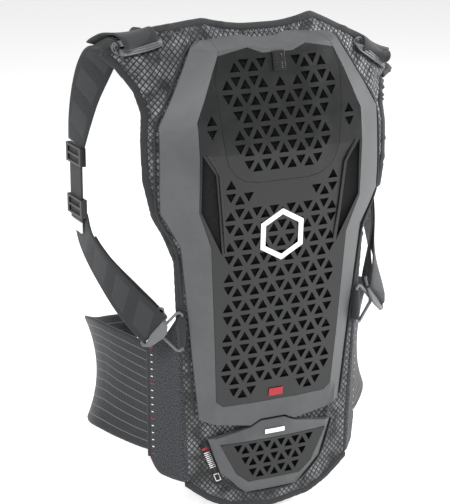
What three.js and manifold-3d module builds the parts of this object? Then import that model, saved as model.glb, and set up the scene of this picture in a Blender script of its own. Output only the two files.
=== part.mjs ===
// Back protector for motorcycle riding: a moulded guard and tail plate on a padded mesh carrier,
// with two shoulder straps and a two-piece kidney belt. Millimetres, +Z up; the wearer faces +Y,
// so the guard faces -Y and the wearer's left is -X. The pieces are laid out from the hem up, and
// the whole is then moved so that its origin is on the wearer's back at the waist.
import * as THREE from 'three';
import { mergeGeometries, mergeVertices } from 'three/addons/utils/BufferGeometryUtils.js';
import Module from 'manifold-3d';

const wasm = await Module();
wasm.setup();

// ---------------------------------------------------------------- driving dimensions
const BACK_LENGTH = 545;        // hem to the middle of the neck edge
const SHOULDER_SPAN = 344;      // across the shoulder corners
const WAIST_HEIGHT = 150;       // hem to the wearer's waist, where the origin is
const TOUCH = 0.35;             // clearance between hard pieces that touch
const LAYER_GAP = 0.9;          // clearance between stacked layers
const SEAT_GAP = 1.4;           // the same under the guard, whose seat is faceted more coarsely
const PANEL_THICKNESS = 4;      // padded mesh carrier
const BINDING_WIDTH = 5;        // elastic tape round the carrier's edges
const BINDING_THICKNESS = 6;
const LINER_THICKNESS = 7;      // spacer-mesh pads on the wearer's side
const SPINE_CHANNEL = 22;       // open channel between the two liner pads
const SHOULDER_DROOP = 45;      // how much lower the right shoulder corner hangs, unworn
const SHELL_WALL = 3;           // moulded guard and grille
const GUARD_EDGE = 2.5;         // thickness left at the guard's rim
const FLEX_LINE = 110;          // height of the line where the tail flexes
const FLEX_ROOM = 1;            // clearance on each side of that line
const TAIL_DEPTH = 11;          // tail plate, front to back
const VENT_PITCH = 20;          // side of one cell of the triangular lattice
const VENT_RIB = 4.8;           // width of the ribs between vents
const TAIL_PITCH = 17.6;        // the tail's lattice is finer
const TAIL_RIB = 4.3;
const EMBLEM_RADIUS = 29;       // plain hexagon ring on the guard
const EMBLEM_STROKE = 6.5;
const STRAP_WIDTH = 38;         // elastic shoulder strap
const WEBBING_WIDTH = 32;       // webbing between the two buckles
const STRAP_THICKNESS = 2;
const WIRE = 3;                 // section of the hooks and side rings
const BELT_THICKNESS = 3.2;     // elastic band of the kidney belt
const PANEL_EDGE = 4;           // neoprene belt panel

// The outlines are drawn for one size and graded to the length and the span, as a garment is.
const PATTERN_LENGTH = 545;
const PATTERN_SPAN = 344;
const LONG = BACK_LENGTH / PATTERN_LENGTH;
const WIDE = SHOULDER_SPAN / PATTERN_SPAN;
const ROW_STEP = 24 * LONG;     // height between the rows of points of every curved panel

// ---------------------------------------------------------------- finishes
const FINISH = {
  mesh: { color: 0x2b2b2d, roughness: 0.7, metalness: 0 },
  tape: { color: 0x37383a, roughness: 0.9, metalness: 0 },
  spacer: { color: 0x1c1c1e, roughness: 0.95, metalness: 0 },
  foam: { color: 0x0b0b0c, roughness: 1, metalness: 0 },
  grey: { color: 0x6a6b6d, roughness: 0.6, metalness: 0 },
  black: { color: 0x242527, roughness: 0.42, metalness: 0 },
  white: { color: 0xf2f2f0, roughness: 0.5, metalness: 0 },
  red: { color: 0xc22a30, roughness: 0.5, metalness: 0 },
  webbing: { color: 0x3a3b3d, roughness: 0.9, metalness: 0 },
  hook: { color: 0x77787a, roughness: 0.45, metalness: 0 },
  buckle: { color: 0x1b1b1c, roughness: 0.35, metalness: 0 },
  neoprene: { color: 0x505153, roughness: 0.9, metalness: 0 },
  band: { color: 0x444547, roughness: 0.9, metalness: 0 },
};

const protector = new THREE.Group();

function part(name, finish, geometry) {
  const mesh = new THREE.Mesh(geometry, new THREE.MeshStandardMaterial(FINISH[finish]));
  mesh.name = name;
  protector.add(mesh);
  return mesh;
}

// ---------------------------------------------------------------- geometry helpers

// A value that follows straight lines between [at, value] points.
function between(points) {
  return (at) => {
    const next = points.findIndex((point) => point[0] >= at);
    if (next === 0) return points[0][1];
    if (next < 0) return points[points.length - 1][1];
    const [a, b] = [points[next - 1], points[next]];
    return THREE.MathUtils.mapLinear(at, a[0], b[0], a[1], b[1]);
  };
}

// A half-width against height, graded to size.
const halfWidth = (points) => between(points.map(([z, x]) => [z * LONG, x * WIDE]));

// A height against distance from the midline, graded to size.
const edgeHeight = (points) => between(points.map(([x, z]) => [x * WIDE, z * LONG]));

// The row heights of a panel: its two ends, and the common rows between them.
function rowsBetween(low, high, extra = []) {
  const rows = [low, high, ...extra];
  for (let z = Math.ceil(low / ROW_STEP) * ROW_STEP; z < high; z += ROW_STEP) rows.push(z);
  rows.sort((a, b) => a - b);
  return rows.filter((z, i) => i === 0 || z === high || (z - rows[i - 1] > 4 && high - z > 4));
}

// A block bent to shape. place() is given how far across (-1 to 1), through (0 front, 1 back)
// and up (0 to 1), and returns the point.
function bent(across, through, up, place) {
  const block = new THREE.BoxGeometry(2, 1, 1, across, through, up);
  block.deleteAttribute('normal');
  block.deleteAttribute('uv');
  const position = block.attributes.position;
  for (let i = 0; i < position.count; i += 1) {
    const point = place(position.getX(i), position.getY(i) + 0.5, position.getZ(i) + 0.5);
    position.setXYZ(i, point[0], point[1], point[2]);
  }
  const flat = mergeVertices(block, 1e-4).toNonIndexed();
  flat.computeVertexNormals();
  return flat;
}

// A curved panel: columns are shares of the half-width, front and back are depths at (x, z).
function panel({ rows, columns, half, lift = (x, z) => z, front, back }) {
  return bent(columns.length - 1, 1, rows.length - 1, (across, through, up) => {
    const column = columns[Math.round(((across + 1) / 2) * (columns.length - 1))];
    const row = rows[Math.round(up * (rows.length - 1))];
    const x = half(row, column);
    const z = lift(x, row, column);
    return [x, through < 0.5 ? front(x, z, column, row) : back(x, z, column, row), z];
  });
}

const shares = (count) => Array.from({ length: count + 1 }, (_, i) => -1 + (2 * i) / count);

function solid(geometry) {
  const bare = new THREE.BufferGeometry();
  bare.setAttribute('position', geometry.getAttribute('position').clone());
  if (geometry.index) bare.setIndex(geometry.index.clone());
  const welded = mergeVertices(bare, 1e-4);
  const vertProperties = welded.attributes.position.array;
  const triVerts = new Uint32Array(welded.index.array);
  return new wasm.Manifold(new wasm.Mesh({ numProp: 3, vertProperties, triVerts }));
}

function geometryOf(manifold) {
  const { vertProperties, triVerts } = manifold.getMesh();
  const indexed = new THREE.BufferGeometry();
  indexed.setAttribute('position', new THREE.BufferAttribute(vertProperties, 3));
  indexed.setIndex(new THREE.BufferAttribute(triVerts, 1));
  const flat = indexed.toNonIndexed();
  flat.computeVertexNormals();
  return flat;
}

// A prism through the object from front to back, whose outline is a list of [x, z] points.
function prism(points, depth = 300) {
  const shape = new THREE.Shape(points.map(([x, z]) => new THREE.Vector2(x, z)));
  const geometry = new THREE.ExtrudeGeometry(shape, { depth, bevelEnabled: false });
  return geometry.rotateX(Math.PI / 2).translate(0, depth / 2, 0);
}

// The right half of an outline, from the bottom up, made whole by its mirror image.
const wholeOutline = (right) => [...right, ...right.map(([x, z]) => [-x, z]).reverse()];

const graded = (points) => points.map(([x, z]) => [x * WIDE, z * LONG]);

// The outline with every corner moved inwards by about the margin.
function inset(points, margin) {
  const middle = points.reduce((sum, [x, z]) => [sum[0] + x, sum[1] + z], [0, 0]);
  const centre = middle.map((value) => value / points.length);
  const turns = THREE.ShapeUtils.area(points.map(([x, z]) => new THREE.Vector2(x, z)));
  const side = Math.sign(turns) || Math.sign(centre[0]);
  return points.map((point, i) => {
    const before = points[(i + points.length - 1) % points.length];
    const after = points[(i + 1) % points.length];
    const a = new THREE.Vector2(point[0] - before[0], point[1] - before[1]).normalize();
    const b = new THREE.Vector2(after[0] - point[0], after[1] - point[1]).normalize();
    const normal = new THREE.Vector2(-a.y - b.y, a.x + b.x).normalize().multiplyScalar(side);
    const reach = margin / Math.max(0.5, Math.abs(normal.x * -a.y + normal.y * a.x));
    return [point[0] + normal.x * reach, point[1] + normal.y * reach];
  });
}

// Whether a point is inside an outline.
function inside(points, x, z) {
  let within = false;
  points.forEach(([x1, z1], i) => {
    const [x2, z2] = points[(i + 1) % points.length];
    if (z1 > z !== z2 > z && x < ((x2 - x1) * (z - z1)) / (z2 - z1) + x1) within = !within;
  });
  return within;
}

// ---------------------------------------------------------------- the carrier's curved surface
const spineDepth = between([
  [2, 13], [100, 14], [200, 12], [300, 8], [400, 6], [440, 8], [470, 13], [500, 22],
  [520, 31], [545, 46], [560, 55],
].map(([z, y]) => [z * LONG, y]));

// Depth of the carrier's middle surface: it wraps towards the wearer's front at the sides.
function bodyDepth(x, z) {
  const shoulder = THREE.MathUtils.smoothstep(z, 500 * LONG, 550 * LONG);
  const curl = 0.01 * Math.max(0, Math.abs(x) / WIDE - 118) ** 2;
  return spineDepth(z) + (x * x * (1 - shoulder)) / 1600 + curl * (1 - 0.45 * shoulder);
}

const carrierFront = (x, z) => bodyDepth(x, z) - PANEL_THICKNESS / 2;
const carrierBack = (x, z) => bodyDepth(x, z) + PANEL_THICKNESS / 2;

// The right shoulder hangs: it slides down in proportion to the distance out, fading out below.
const DROOP_START = 60 * WIDE;
const DROOP_LOW = 425 * LONG;
const DROOP_HIGH = 523 * LONG;
const droopSlope = SHOULDER_DROOP / ((172 - 60) * WIDE);
const droopShare = (z) => THREE.MathUtils.clamp((z - DROOP_LOW) / (DROOP_HIGH - DROOP_LOW), 0, 1);
const droop = (x, z) => Math.max(0, x - DROOP_START) * droopSlope * droopShare(z);

// The height that a point of the hanging shoulder had before it slid down.
function raised(x, z) {
  const full = Math.max(0, x - DROOP_START) * droopSlope;
  if (z + full > DROOP_HIGH) return z + full;
  const k = full / (DROOP_HIGH - DROOP_LOW);
  return z < DROOP_LOW ? z : (z - DROOP_LOW * k) / (1 - k);
}

const clothDepth = (x, z) => bodyDepth(x, raised(x, z));
const clothFront = (x, z) => clothDepth(x, z) - PANEL_THICKNESS / 2;
const clothBack = (x, z) => clothDepth(x, z) + PANEL_THICKNESS / 2;

// The carrier's side: hem corner, belt seam, narrow flank, armhole, shoulder corner.
const carrierHalf = halfWidth([
  [41, 97.7], [44, 97.7], [201, 104.7], [240, 107.5], [271, 109], [307, 111], [335, 122],
  [358, 134], [395, 142], [430, 143], [467, 140.5], [490, 146], [510, 159], [523, 172],
]);
const neckEdge = edgeHeight([
  [0, 545], [30, 545.5], [45, 548.5], [60, 553.5], [72, 553], [108, 549.5], [138, 546.5],
  [163, 539], [172, 523],
]);
const hemEdge = edgeHeight([[0, 2], [50, 9], [75, 22], [98, 41]]);
const HEM_CORNER = 41 * LONG;
const SHOULDER_CORNER = 523 * LONG;

// The top rows rise to the neck edge and the bottom rows drop to the hem, column by column.
function carrierLift(x, z, share) {
  const up = THREE.MathUtils.smoothstep(z, 440 * LONG, SHOULDER_CORNER);
  const down = 1 - THREE.MathUtils.smoothstep(z, HEM_CORNER, 100 * LONG);
  const rise = neckEdge(Math.abs(share) * carrierHalf(SHOULDER_CORNER)) - SHOULDER_CORNER;
  const drop = hemEdge(Math.abs(share) * carrierHalf(HEM_CORNER)) - HEM_CORNER;
  const lifted = z + rise * up + drop * down;
  return lifted - droop(x, lifted);
}

const CARRIER_COLUMNS = shares(16);
const ARMHOLE_ROWS = [307, 335, 358, 395, 430, 467, 490, 510].map((z) => z * LONG);
const carrierRows = rowsBetween(FLEX_LINE * LONG + FLEX_ROOM, SHOULDER_CORNER, ARMHOLE_ROWS);
const tailPanelRows = rowsBetween(HEM_CORNER, FLEX_LINE * LONG - FLEX_ROOM);

function carrierPanel(rows) {
  return panel({
    rows,
    columns: CARRIER_COLUMNS,
    half: (row, share) => carrierHalf(row) * share,
    lift: carrierLift,
    front: clothFront,
    back: clothBack,
  });
}

// ---------------------------------------------------------------- strap slots in the shoulders
const SLOT_CENTRE = [-138 * WIDE, 532 * LONG];
const SLOT_TILT = THREE.MathUtils.degToRad(14.5);
const SLOT_HEIGHT = 8;
const SLOT_RIM = 4.5;
const SLOT_RING_DEPTH = 8;
const slotHalf = STRAP_WIDTH / 2 + 2.5;

// A rounded slot outline on the left shoulder, grown by a margin.
function slotOutline(margin) {
  const radius = SLOT_HEIGHT / 2 + margin;
  const straight = slotHalf - SLOT_HEIGHT / 2;
  const points = [];
  for (let i = 0; i < 16; i += 1) {
    const angle = ((i + 0.5) / 16) * 2 * Math.PI;
    const x = Math.cos(angle) * radius + Math.sign(Math.cos(angle)) * straight;
    const z = Math.sin(angle) * radius;
    points.push([
      SLOT_CENTRE[0] + x * Math.cos(SLOT_TILT) - z * Math.sin(SLOT_TILT),
      SLOT_CENTRE[1] + x * Math.sin(SLOT_TILT) + z * Math.cos(SLOT_TILT),
    ]);
  }
  return points;
}

const mirrored = (points) => points.map(([x, z]) => [-x, z]).reverse();
const slumped = (points) => points.map(([x, z]) => [x, z - droop(x, z)]);

const slotCut = solid(prism(slotOutline(SLOT_RIM + TOUCH)));
const slotCutRight = solid(prism(slumped(mirrored(slotOutline(SLOT_RIM + TOUCH)))));
const carrier = solid(carrierPanel(carrierRows)).subtract(slotCut).subtract(slotCutRight);
part('back_panel', 'mesh', geometryOf(carrier));
part('tail_panel', 'mesh', carrierPanel(tailPanelRows));

const slotDepth = bodyDepth(SLOT_CENTRE[0], SLOT_CENTRE[1]);
for (const side of [-1, 1]) {
  const facing = (points) => (side < 0 ? points : slumped(mirrored(points)));
  const rim = solid(prism(facing(slotOutline(SLOT_RIM)), SLOT_RING_DEPTH));
  const hole = solid(prism(facing(slotOutline(0))));
  const ring = geometryOf(rim.subtract(hole)).translate(0, slotDepth, 0);
  part(side < 0 ? 'strap_slot_left' : 'strap_slot_right', 'hook', ring);
}

// ---------------------------------------------------------------- edge bindings

// Tape beside a run of edge points [x, z]: it lies outside the edge, on the carrier's surface.
function binding(points) {
  return bent(1, 1, points.length - 1, (across, through, up) => {
    const i = Math.round(up * (points.length - 1));
    const before = points[Math.max(0, i - 1)];
    const after = points[Math.min(points.length - 1, i + 1)];
    const run = new THREE.Vector2(after[0] - before[0], after[1] - before[1]).normalize();
    const out = (across < 0 ? BINDING_WIDTH : 0) + 1.2;
    const x = points[i][0] - run.y * out;
    const z = points[i][1] + run.x * out;
    const depth = clothDepth(points[i][0], points[i][1]);
    return [x, depth + (through - 0.5) * BINDING_THICKNESS, z];
  });
}

const rowPoint = (row, share) => {
  const x = carrierHalf(row) * share;
  return [x, carrierLift(x, row, share)];
};
const ARMHOLE_END = 262 * LONG;
const armholeRows = carrierRows.filter((row) => row > ARMHOLE_END);
const armholeLeft = armholeRows.map((row) => rowPoint(row, -1));
const armholeRight = armholeRows.map((row) => rowPoint(row, 1)).reverse();
part('armhole_binding_left', 'tape', binding(armholeLeft));
part('armhole_binding_right', 'tape', binding(armholeRight));
const neckRun = CARRIER_COLUMNS.filter((share) => Math.abs(share) < 0.65);
part('neck_binding', 'tape', binding(neckRun.map((share) => rowPoint(SHOULDER_CORNER, share))));
const hemRun = [...CARRIER_COLUMNS].reverse();
part('hem_binding', 'tape', binding(hemRun.map((share) => rowPoint(HEM_CORNER, share))));

// ---------------------------------------------------------------- liner pads
const linerHalf = halfWidth([[128, 68], [230, 74], [330, 80], [420, 92], [478, 72]]);
const linerRows = rowsBetween(128 * LONG, 478 * LONG);
for (const side of [-1, 1]) {
  const columns = [0, 0.5, 1];
  const inner = (SPINE_CHANNEL / 2) * side;
  const pad = panel({
    rows: linerRows,
    columns: side < 0 ? columns.map((c) => 1 - c) : columns,
    half: (row, share) => inner + (linerHalf(row) * side - inner) * share,
    front: (x, z) => clothBack(x, z) + LAYER_GAP,
    back: (x, z) => clothBack(x, z) + LAYER_GAP + LINER_THICKNESS,
  });
  part(side < 0 ? 'liner_pad_left' : 'liner_pad_right', 'spacer', pad);
}

// ---------------------------------------------------------------- the guard
const guardHalf = halfWidth([
  [119, 85.8], [321, 107.4], [362, 129.8], [452, 128], [530, 84.3], [534.5, 78.5],
]);
const faceHalf = halfWidth([
  [119, 68], [139, 70.3], [322, 80.5], [362, 95], [458, 95.3], [506, 75.3], [523, 67.2], [534.5, 65],
]);
const FACE_LINE = [
  [112, 2], [139, -1], [200, -6], [322, -12.5], [362, -15], [422, -17], [458, -12.5],
  [506, -3.5], [523, 1], [540, 8],
].map(([z, y]) => [z * LONG, y]);
const faceSpine = between(FACE_LINE);
const FACE_FLAT = 0.4;          // share of the face's width that is flat across
const FACE_CROWN = 3.5;         // how far the face falls back from there to its edges

function faceDepth(x, z) {
  const out = Math.max(0, Math.abs(x) / faceHalf(z) - FACE_FLAT) / (1 - FACE_FLAT);
  return faceSpine(z) + FACE_CROWN * Math.min(1, out);
}

const GUARD_TOP = 534.5 * LONG;
const FACE_TOP = 523 * LONG;
const GUARD_BOTTOM = 119 * LONG;
const FACE_BOTTOM = 139 * LONG;
const guardTopEdge = edgeHeight([[0, -0.5], [14, -0.5], [30, 4.5], [64, 0.5], [78, 0]]);
const guardBottomEdge = edgeHeight([[0, 111], [17, 111], [34, 101], [86, 119]]);

function guardLift(x, z) {
  const up = THREE.MathUtils.smoothstep(z, 495 * LONG, FACE_TOP);
  const down = 1 - THREE.MathUtils.smoothstep(z, GUARD_BOTTOM, 160 * LONG);
  const bottom = (guardBottomEdge(Math.abs(x)) - GUARD_BOTTOM) * down;
  return z + guardTopEdge(Math.abs(x)) * up + bottom;
}

// Columns up to 1 are the face; the outermost two on each side are the sloping flank.
const GUARD_COLUMNS = [-3, -2, -1, -FACE_FLAT, -0.22, 0.22, FACE_FLAT, 1, 2, 3];
const guardX = (shrink) => (row, share) => {
  const flank = (Math.abs(share) - 1) / 2;
  if (flank <= 0) return faceHalf(row) * share;
  const face = faceHalf(row);
  return Math.sign(share) * (face + (guardHalf(row) - shrink - face) * flank);
};
const faceRows = FACE_LINE.map(([z]) => z);
const guardRows = (low, high) => {
  const turns = [...faceRows, 342 * LONG, 452 * LONG, 484 * LONG].filter((z) => z > low && z < high);
  return rowsBetween(low, high, turns);
};

// The guard's outer form, drawn in by the shrink at its edges and sunk by the drop everywhere.
function guardForm(shrink, drop, behind) {
  const rows = guardRows(GUARD_BOTTOM + shrink, GUARD_TOP - shrink);
  const rim = (x, z) => carrierFront(x, z) - LAYER_GAP - GUARD_EDGE;
  const overlap = (x, z) => Math.min(rim(x, z), faceSpine(112 * LONG) + 2.5);
  const front = (x, z, column, row) => {
    const flank = Math.max(0, (Math.abs(column) - 1) / 2);
    if (row === rows[0] && flank < 0.9) return overlap(x, z) + drop;
    if (row === rows[0] || row === rows[rows.length - 1]) return rim(x, z) + drop;
    const edge = Math.sign(column) * faceHalf(row);
    const face = faceDepth(flank > 0 ? edge : x, z);
    return THREE.MathUtils.lerp(face, rim(x, z), flank) + drop;
  };
  const back = (x, z) => carrierFront(x, z) + behind;
  return solid(panel({
    rows,
    columns: GUARD_COLUMNS,
    half: guardX(shrink),
    lift: guardLift,
    front,
    back,
  }));
}

const CAVITY_INSET = 4.5;
const faceOutline = wholeOutline(graded([
  [62, 134], [70.3, 141], [80.5, 322], [95, 362], [95.3, 458], [75.3, 506], [67.2, 523],
  [33.5, 529.7], [17.4, 523.5],
]));
const insertRight = [
  [30, 389.5], [45, 392.5], [55, 399], [62, 408], [66.3, 421], [71.5, 468], [73, 500], [67, 523],
  [60, 545],
];
const insertOutline = wholeOutline(graded(insertRight));

const guardOuter = guardForm(0, 0, -SEAT_GAP);
const guardCavity = guardForm(CAVITY_INSET, SHELL_WALL, 6);
const faceHole = solid(prism(faceOutline));
const shell = guardOuter.subtract(guardCavity).subtract(faceHole);
const insertHole = solid(prism(insertOutline));
const insertPlug = solid(prism(inset(insertOutline, TOUCH)));
part('guard_shell', 'grey', geometryOf(shell.subtract(insertHole)));
part('insert_rim', 'grey', geometryOf(shell.intersect(insertPlug)));

// The face plate follows the guard's face and is cut into the main grille and the insert.
function facePlate(front, back) {
  return solid(panel({
    rows: faceRows,
    columns: [-2, -1, -FACE_FLAT, FACE_FLAT, 1, 2],
    half: guardX(0),
    front: (x, z) => faceDepth(x, z) + front,
    back: (x, z) => faceDepth(x, z) + back,
  }));
}

// ---------------------------------------------------------------- vents
// Triangular vents of the lattice whose corners are all allowed, as one solid of prisms.
function vents(pitch, rib, [low, high, span], allowed) {
  const cells = [];
  const rowHeight = (pitch * Math.sqrt(3)) / 2;
  const radius = pitch / Math.sqrt(3) - rib;
  const rows = Math.floor((high - low) / rowHeight);
  const columns = Math.ceil(span / pitch);
  for (let row = 0; row < rows; row += 1) {
    for (let column = -2 * columns; column <= 2 * columns; column += 1) {
      const up = (row + column) % 2 === 0;
      const x = (column * pitch) / 2;
      const z = low + row * rowHeight + (rowHeight * (up ? 1 : 2)) / 3;
      const corners = [90, 210, 330].map((degrees) => {
        const angle = THREE.MathUtils.degToRad(up ? degrees : degrees + 180);
        return [x + radius * Math.cos(angle), z + radius * Math.sin(angle)];
      });
      if (corners.every(([cx, cz]) => allowed(cx, cz))) cells.push(prism(corners, 90));
    }
  }
  return solid(mergeGeometries(cells));
}

const slotRight = graded([[68, 312], [93, 363], [92, 424], [77, 402]]);
const finLeft = mirrored(slotRight);
const ventField = inset(faceOutline, 5.5);
const insertField = inset(insertOutline, 5);
const insertMargin = inset(insertOutline, -3);
const slotMargins = [inset(slotRight, -4.5), inset(finLeft, -4.5)];
const TAB_HALF = 7;
const TAB_FOOT = 504 * LONG;
const BAND_LOW = 372 * LONG;
const MARK_TOP = 152 * LONG;

const faceSpan = [FACE_BOTTOM + 1, FACE_TOP, 100 * WIDE];
const mainVents = vents(VENT_PITCH, VENT_RIB, faceSpan, (x, z) => {
  const plainBand = Math.abs(x) < 34 && z > BAND_LOW && z < 400 * LONG;
  const mark = Math.abs(x) < 15 && z < MARK_TOP;
  if (plainBand || mark || inside(insertMargin, x, z)) return false;
  return inside(ventField, x, z) && !slotMargins.some((outline) => inside(outline, x, z));
});
const insertVents = vents(VENT_PITCH, VENT_RIB, faceSpan, (x, z) => {
  const tab = Math.abs(x) < TAB_HALF + 2 && z > TAB_FOOT - 3;
  return !tab && z < 521 * LONG && inside(insertField, x, z);
});

const plate = facePlate(0, SHELL_WALL);
const faceFit = solid(prism(inset(faceOutline, TOUCH)));
const slots = solid(prism(slotRight)).add(solid(prism(finLeft)));
const mainPlate = plate.intersect(faceFit).subtract(insertHole).subtract(slots);
part('main_grille', 'black', geometryOf(mainPlate.subtract(mainVents)));
const insertPlate = plate.intersect(faceFit).intersect(insertPlug);
part('insert_grille', 'black', geometryOf(insertPlate.subtract(insertVents)));

// Foam fills the guard behind the plate.
const foamForm = guardForm(CAVITY_INSET + 2.5, SHELL_WALL + LAYER_GAP + 0.4, -LAYER_GAP);
const foamBlock = foamForm.subtract(facePlate(-20, SHELL_WALL + LAYER_GAP));
part('foam_core', 'foam', geometryOf(foamBlock));

// A raised fin runs along the inner edge of each side slot.
const FIN_WIDTH = 2.2;
const FIN_RISE = 1.8;
const finLine = graded([[66.5, 314], [70.5, 352], [75.5, 402], [80.5, 411], [89, 424]]);
for (const side of [-1, 1]) {
  const fin = bent(1, 1, finLine.length - 1, (across, through, up) => {
    const [x, z] = finLine[Math.round(up * (finLine.length - 1))];
    const taper = up > 0.1 && up < 0.9 ? 1 : 0.35;
    const at = side * (x - FIN_WIDTH / 2 - 0.9) + (across * FIN_WIDTH) / 2;
    const depth = faceDepth(side * x, z) - 0.8;
    return [at, through < 0.5 ? depth - FIN_RISE * taper : depth, z];
  });
  part(side < 0 ? 'slot_fin_left' : 'slot_fin_right', 'black', fin);
}

// A raised plaque on the face: its outline is [x, z], and its back follows the face.
function plaque(points, thickness, hole) {
  let body = solid(prism(points));
  if (hole) body = body.subtract(solid(prism(hole)));
  const slab = facePlate(-TOUCH - thickness, -TOUCH);
  return geometryOf(body.intersect(slab));
}

const hexagon = (radius, x, z) => [30, 90, 150, 210, 270, 330].map((degrees) => [
  x + radius * Math.cos(THREE.MathUtils.degToRad(degrees)),
  z + radius * Math.sin(THREE.MathUtils.degToRad(degrees)),
]);
const rectangle = (x, z, width, height) => [
  [x - width / 2, z - height / 2], [x + width / 2, z - height / 2],
  [x + width / 2, z + height / 2], [x - width / 2, z + height / 2],
];
const EMBLEM_HEIGHT = 329 * LONG;
const emblemOuter = hexagon(EMBLEM_RADIUS, 0, EMBLEM_HEIGHT);
const emblemInner = hexagon(EMBLEM_RADIUS - EMBLEM_STROKE, 0, EMBLEM_HEIGHT);
part('emblem', 'white', plaque(emblemOuter, 1.2, emblemInner));
part('red_badge', 'red', plaque(rectangle(0, 144 * LONG, 17, 9), 1));
part('insert_tab', 'black', plaque(rectangle(0, 515 * LONG, 2 * TAB_HALF, 20), 2));

// ---------------------------------------------------------------- tail plate
const tailHalf = halfWidth([[23, 31.6], [51.5, 61.3], [94.4, 75.8]]);
const tailFaceHalf = halfWidth([[23, 25], [38, 32], [51.5, 48], [90, 67.5], [94.4, 67.5]]);
const TAIL_TOP = 94.4 * LONG;
const TAIL_BOTTOM = 23 * LONG;
const TAIL_FACE_BOTTOM = 38 * LONG;
const TAIL_FACE_TOP = 86 * LONG;
const tailTopEdge = edgeHeight([[0, 108.5], [16, 108.5], [35, 98], [46, 95.5], [76, 94.4]]);

function tailLift(x, z) {
  const up = THREE.MathUtils.smoothstep(z, 60 * LONG, TAIL_TOP);
  return z + (tailTopEdge(Math.abs(x)) - TAIL_TOP) * up;
}

const tailRows = [TAIL_BOTTOM, TAIL_FACE_BOTTOM, 51.5 * LONG, 70 * LONG, TAIL_FACE_TOP, TAIL_TOP];
const tailX = (shrink) => (row, share) => {
  const flank = (Math.abs(share) - 1) / 2;
  const face = tailFaceHalf(row);
  if (flank <= 0) return face * share;
  return Math.sign(share) * (face + (tailHalf(row) - shrink - face) * flank);
};
const tailFace = (x, z) => carrierFront(0, z) - LAYER_GAP - TAIL_DEPTH + (x * x) / 1600;

function tailForm(shrink, drop, behind) {
  const rows = [TAIL_BOTTOM + shrink, ...tailRows.slice(1, -1), TAIL_TOP - shrink];
  const rim = (x, z) => carrierFront(x, z) - LAYER_GAP - GUARD_EDGE;
  const front = (x, z, column, row) => {
    const flank = Math.max(0, (Math.abs(column) - 1) / 2);
    if (row === rows[0]) return rim(x, z) + drop;
    const top = row === rows[rows.length - 1] ? 4 : 0;
    const face = tailFace(flank > 0 ? Math.sign(column) * tailFaceHalf(row) : x, z);
    return THREE.MathUtils.lerp(face + top, rim(x, z), flank) + drop;
  };
  return solid(panel({
    rows,
    columns: GUARD_COLUMNS,
    half: tailX(shrink),
    lift: tailLift,
    front,
    back: (x, z) => carrierFront(x, z) + behind,
  }));
}

const tailFaceOutline = wholeOutline(graded([[32, 39.5], [46, 51], [65, 88.5]]));
const tailShell = tailForm(0, 0, -LAYER_GAP).subtract(tailForm(CAVITY_INSET, SHELL_WALL, 6));
part('tail_shell', 'grey', geometryOf(tailShell.subtract(solid(prism(tailFaceOutline)))));

function tailPlate(front, back) {
  return solid(panel({
    rows: [36 * LONG, ...tailRows.slice(2, -1), 92 * LONG],
    columns: shares(6),
    half: (row, share) => 70 * WIDE * share,
    front: (x, z) => tailFace(x, z) + front,
    back: (x, z) => tailFace(x, z) + back,
  }));
}

const tailField = inset(tailFaceOutline, 1.5);
const tailSpan = [41.5 * LONG, 95 * LONG, 70 * WIDE];
const tailVents = vents(TAIL_PITCH, TAIL_RIB, tailSpan, (x, z) => inside(tailField, x, z));
const tailFaceFit = tailPlate(0, SHELL_WALL).intersect(solid(prism(inset(tailFaceOutline, TOUCH))));
part('tail_grille', 'black', geometryOf(tailFaceFit.subtract(tailVents)));
const tailFoamForm = tailForm(CAVITY_INSET + 2.5, SHELL_WALL + LAYER_GAP + 1, -LAYER_GAP);
part('tail_foam', 'foam', geometryOf(tailFoamForm.subtract(tailPlate(-20, SHELL_WALL + LAYER_GAP))));

function tailBadge() {
  const slab = tailPlate(0, 1.2);
  const lifted = geometryOf(slab.intersect(solid(prism(rectangle(0, 89 * LONG, 24, 5)))));
  return lifted.translate(0, -1.2 - TOUCH - 0.4, 8 * LONG);
}
part('tail_badge', 'white', tailBadge());

// The care label is sewn to the carrier beside the tail plate.
const LABEL_CORNERS = graded([[-66, 36], [-56, 38], [-75.5, 89], [-85, 86]]);
const labelSlab = solid(panel({
  rows: [30 * LONG, 60 * LONG, 95 * LONG],
  columns: shares(6),
  half: (row, share) => -70 * WIDE + 22 * share,
  front: (x, z) => carrierFront(x, z) - LAYER_GAP - 0.6,
  back: (x, z) => carrierFront(x, z) - LAYER_GAP,
}));
const tailKeepOut = tailForm(-1.5, -40, 30);
part('care_label', 'buckle', geometryOf(
  labelSlab.intersect(solid(prism(LABEL_CORNERS))).subtract(tailKeepOut),
));

// ---------------------------------------------------------------- ribbons

// A ribbon along stations { at: [x, y, z], width: [x, y, z] direction, wide }.
function ribbon(stations, thickness, side, offset = 0) {
  const flip = (v) => new THREE.Vector3(v[0] * side, v[1], v[2]);
  return bent(2, 1, stations.length - 1, (across, through, up) => {
    const i = Math.round(up * (stations.length - 1));
    const { at, width, wide } = stations[i];
    const before = flip(stations[Math.max(0, i - 1)].at);
    const after = flip(stations[Math.min(stations.length - 1, i + 1)].at);
    const along = after.sub(before).normalize();
    const direction = flip(width).normalize();
    const normal = new THREE.Vector3().crossVectors(along, direction).normalize();
    const shift = (through - 0.5) * thickness + offset * side;
    const point = flip(at).addScaledVector(direction, (across * wide) / 2);
    return point.addScaledVector(normal, shift).toArray();
  });
}

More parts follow.
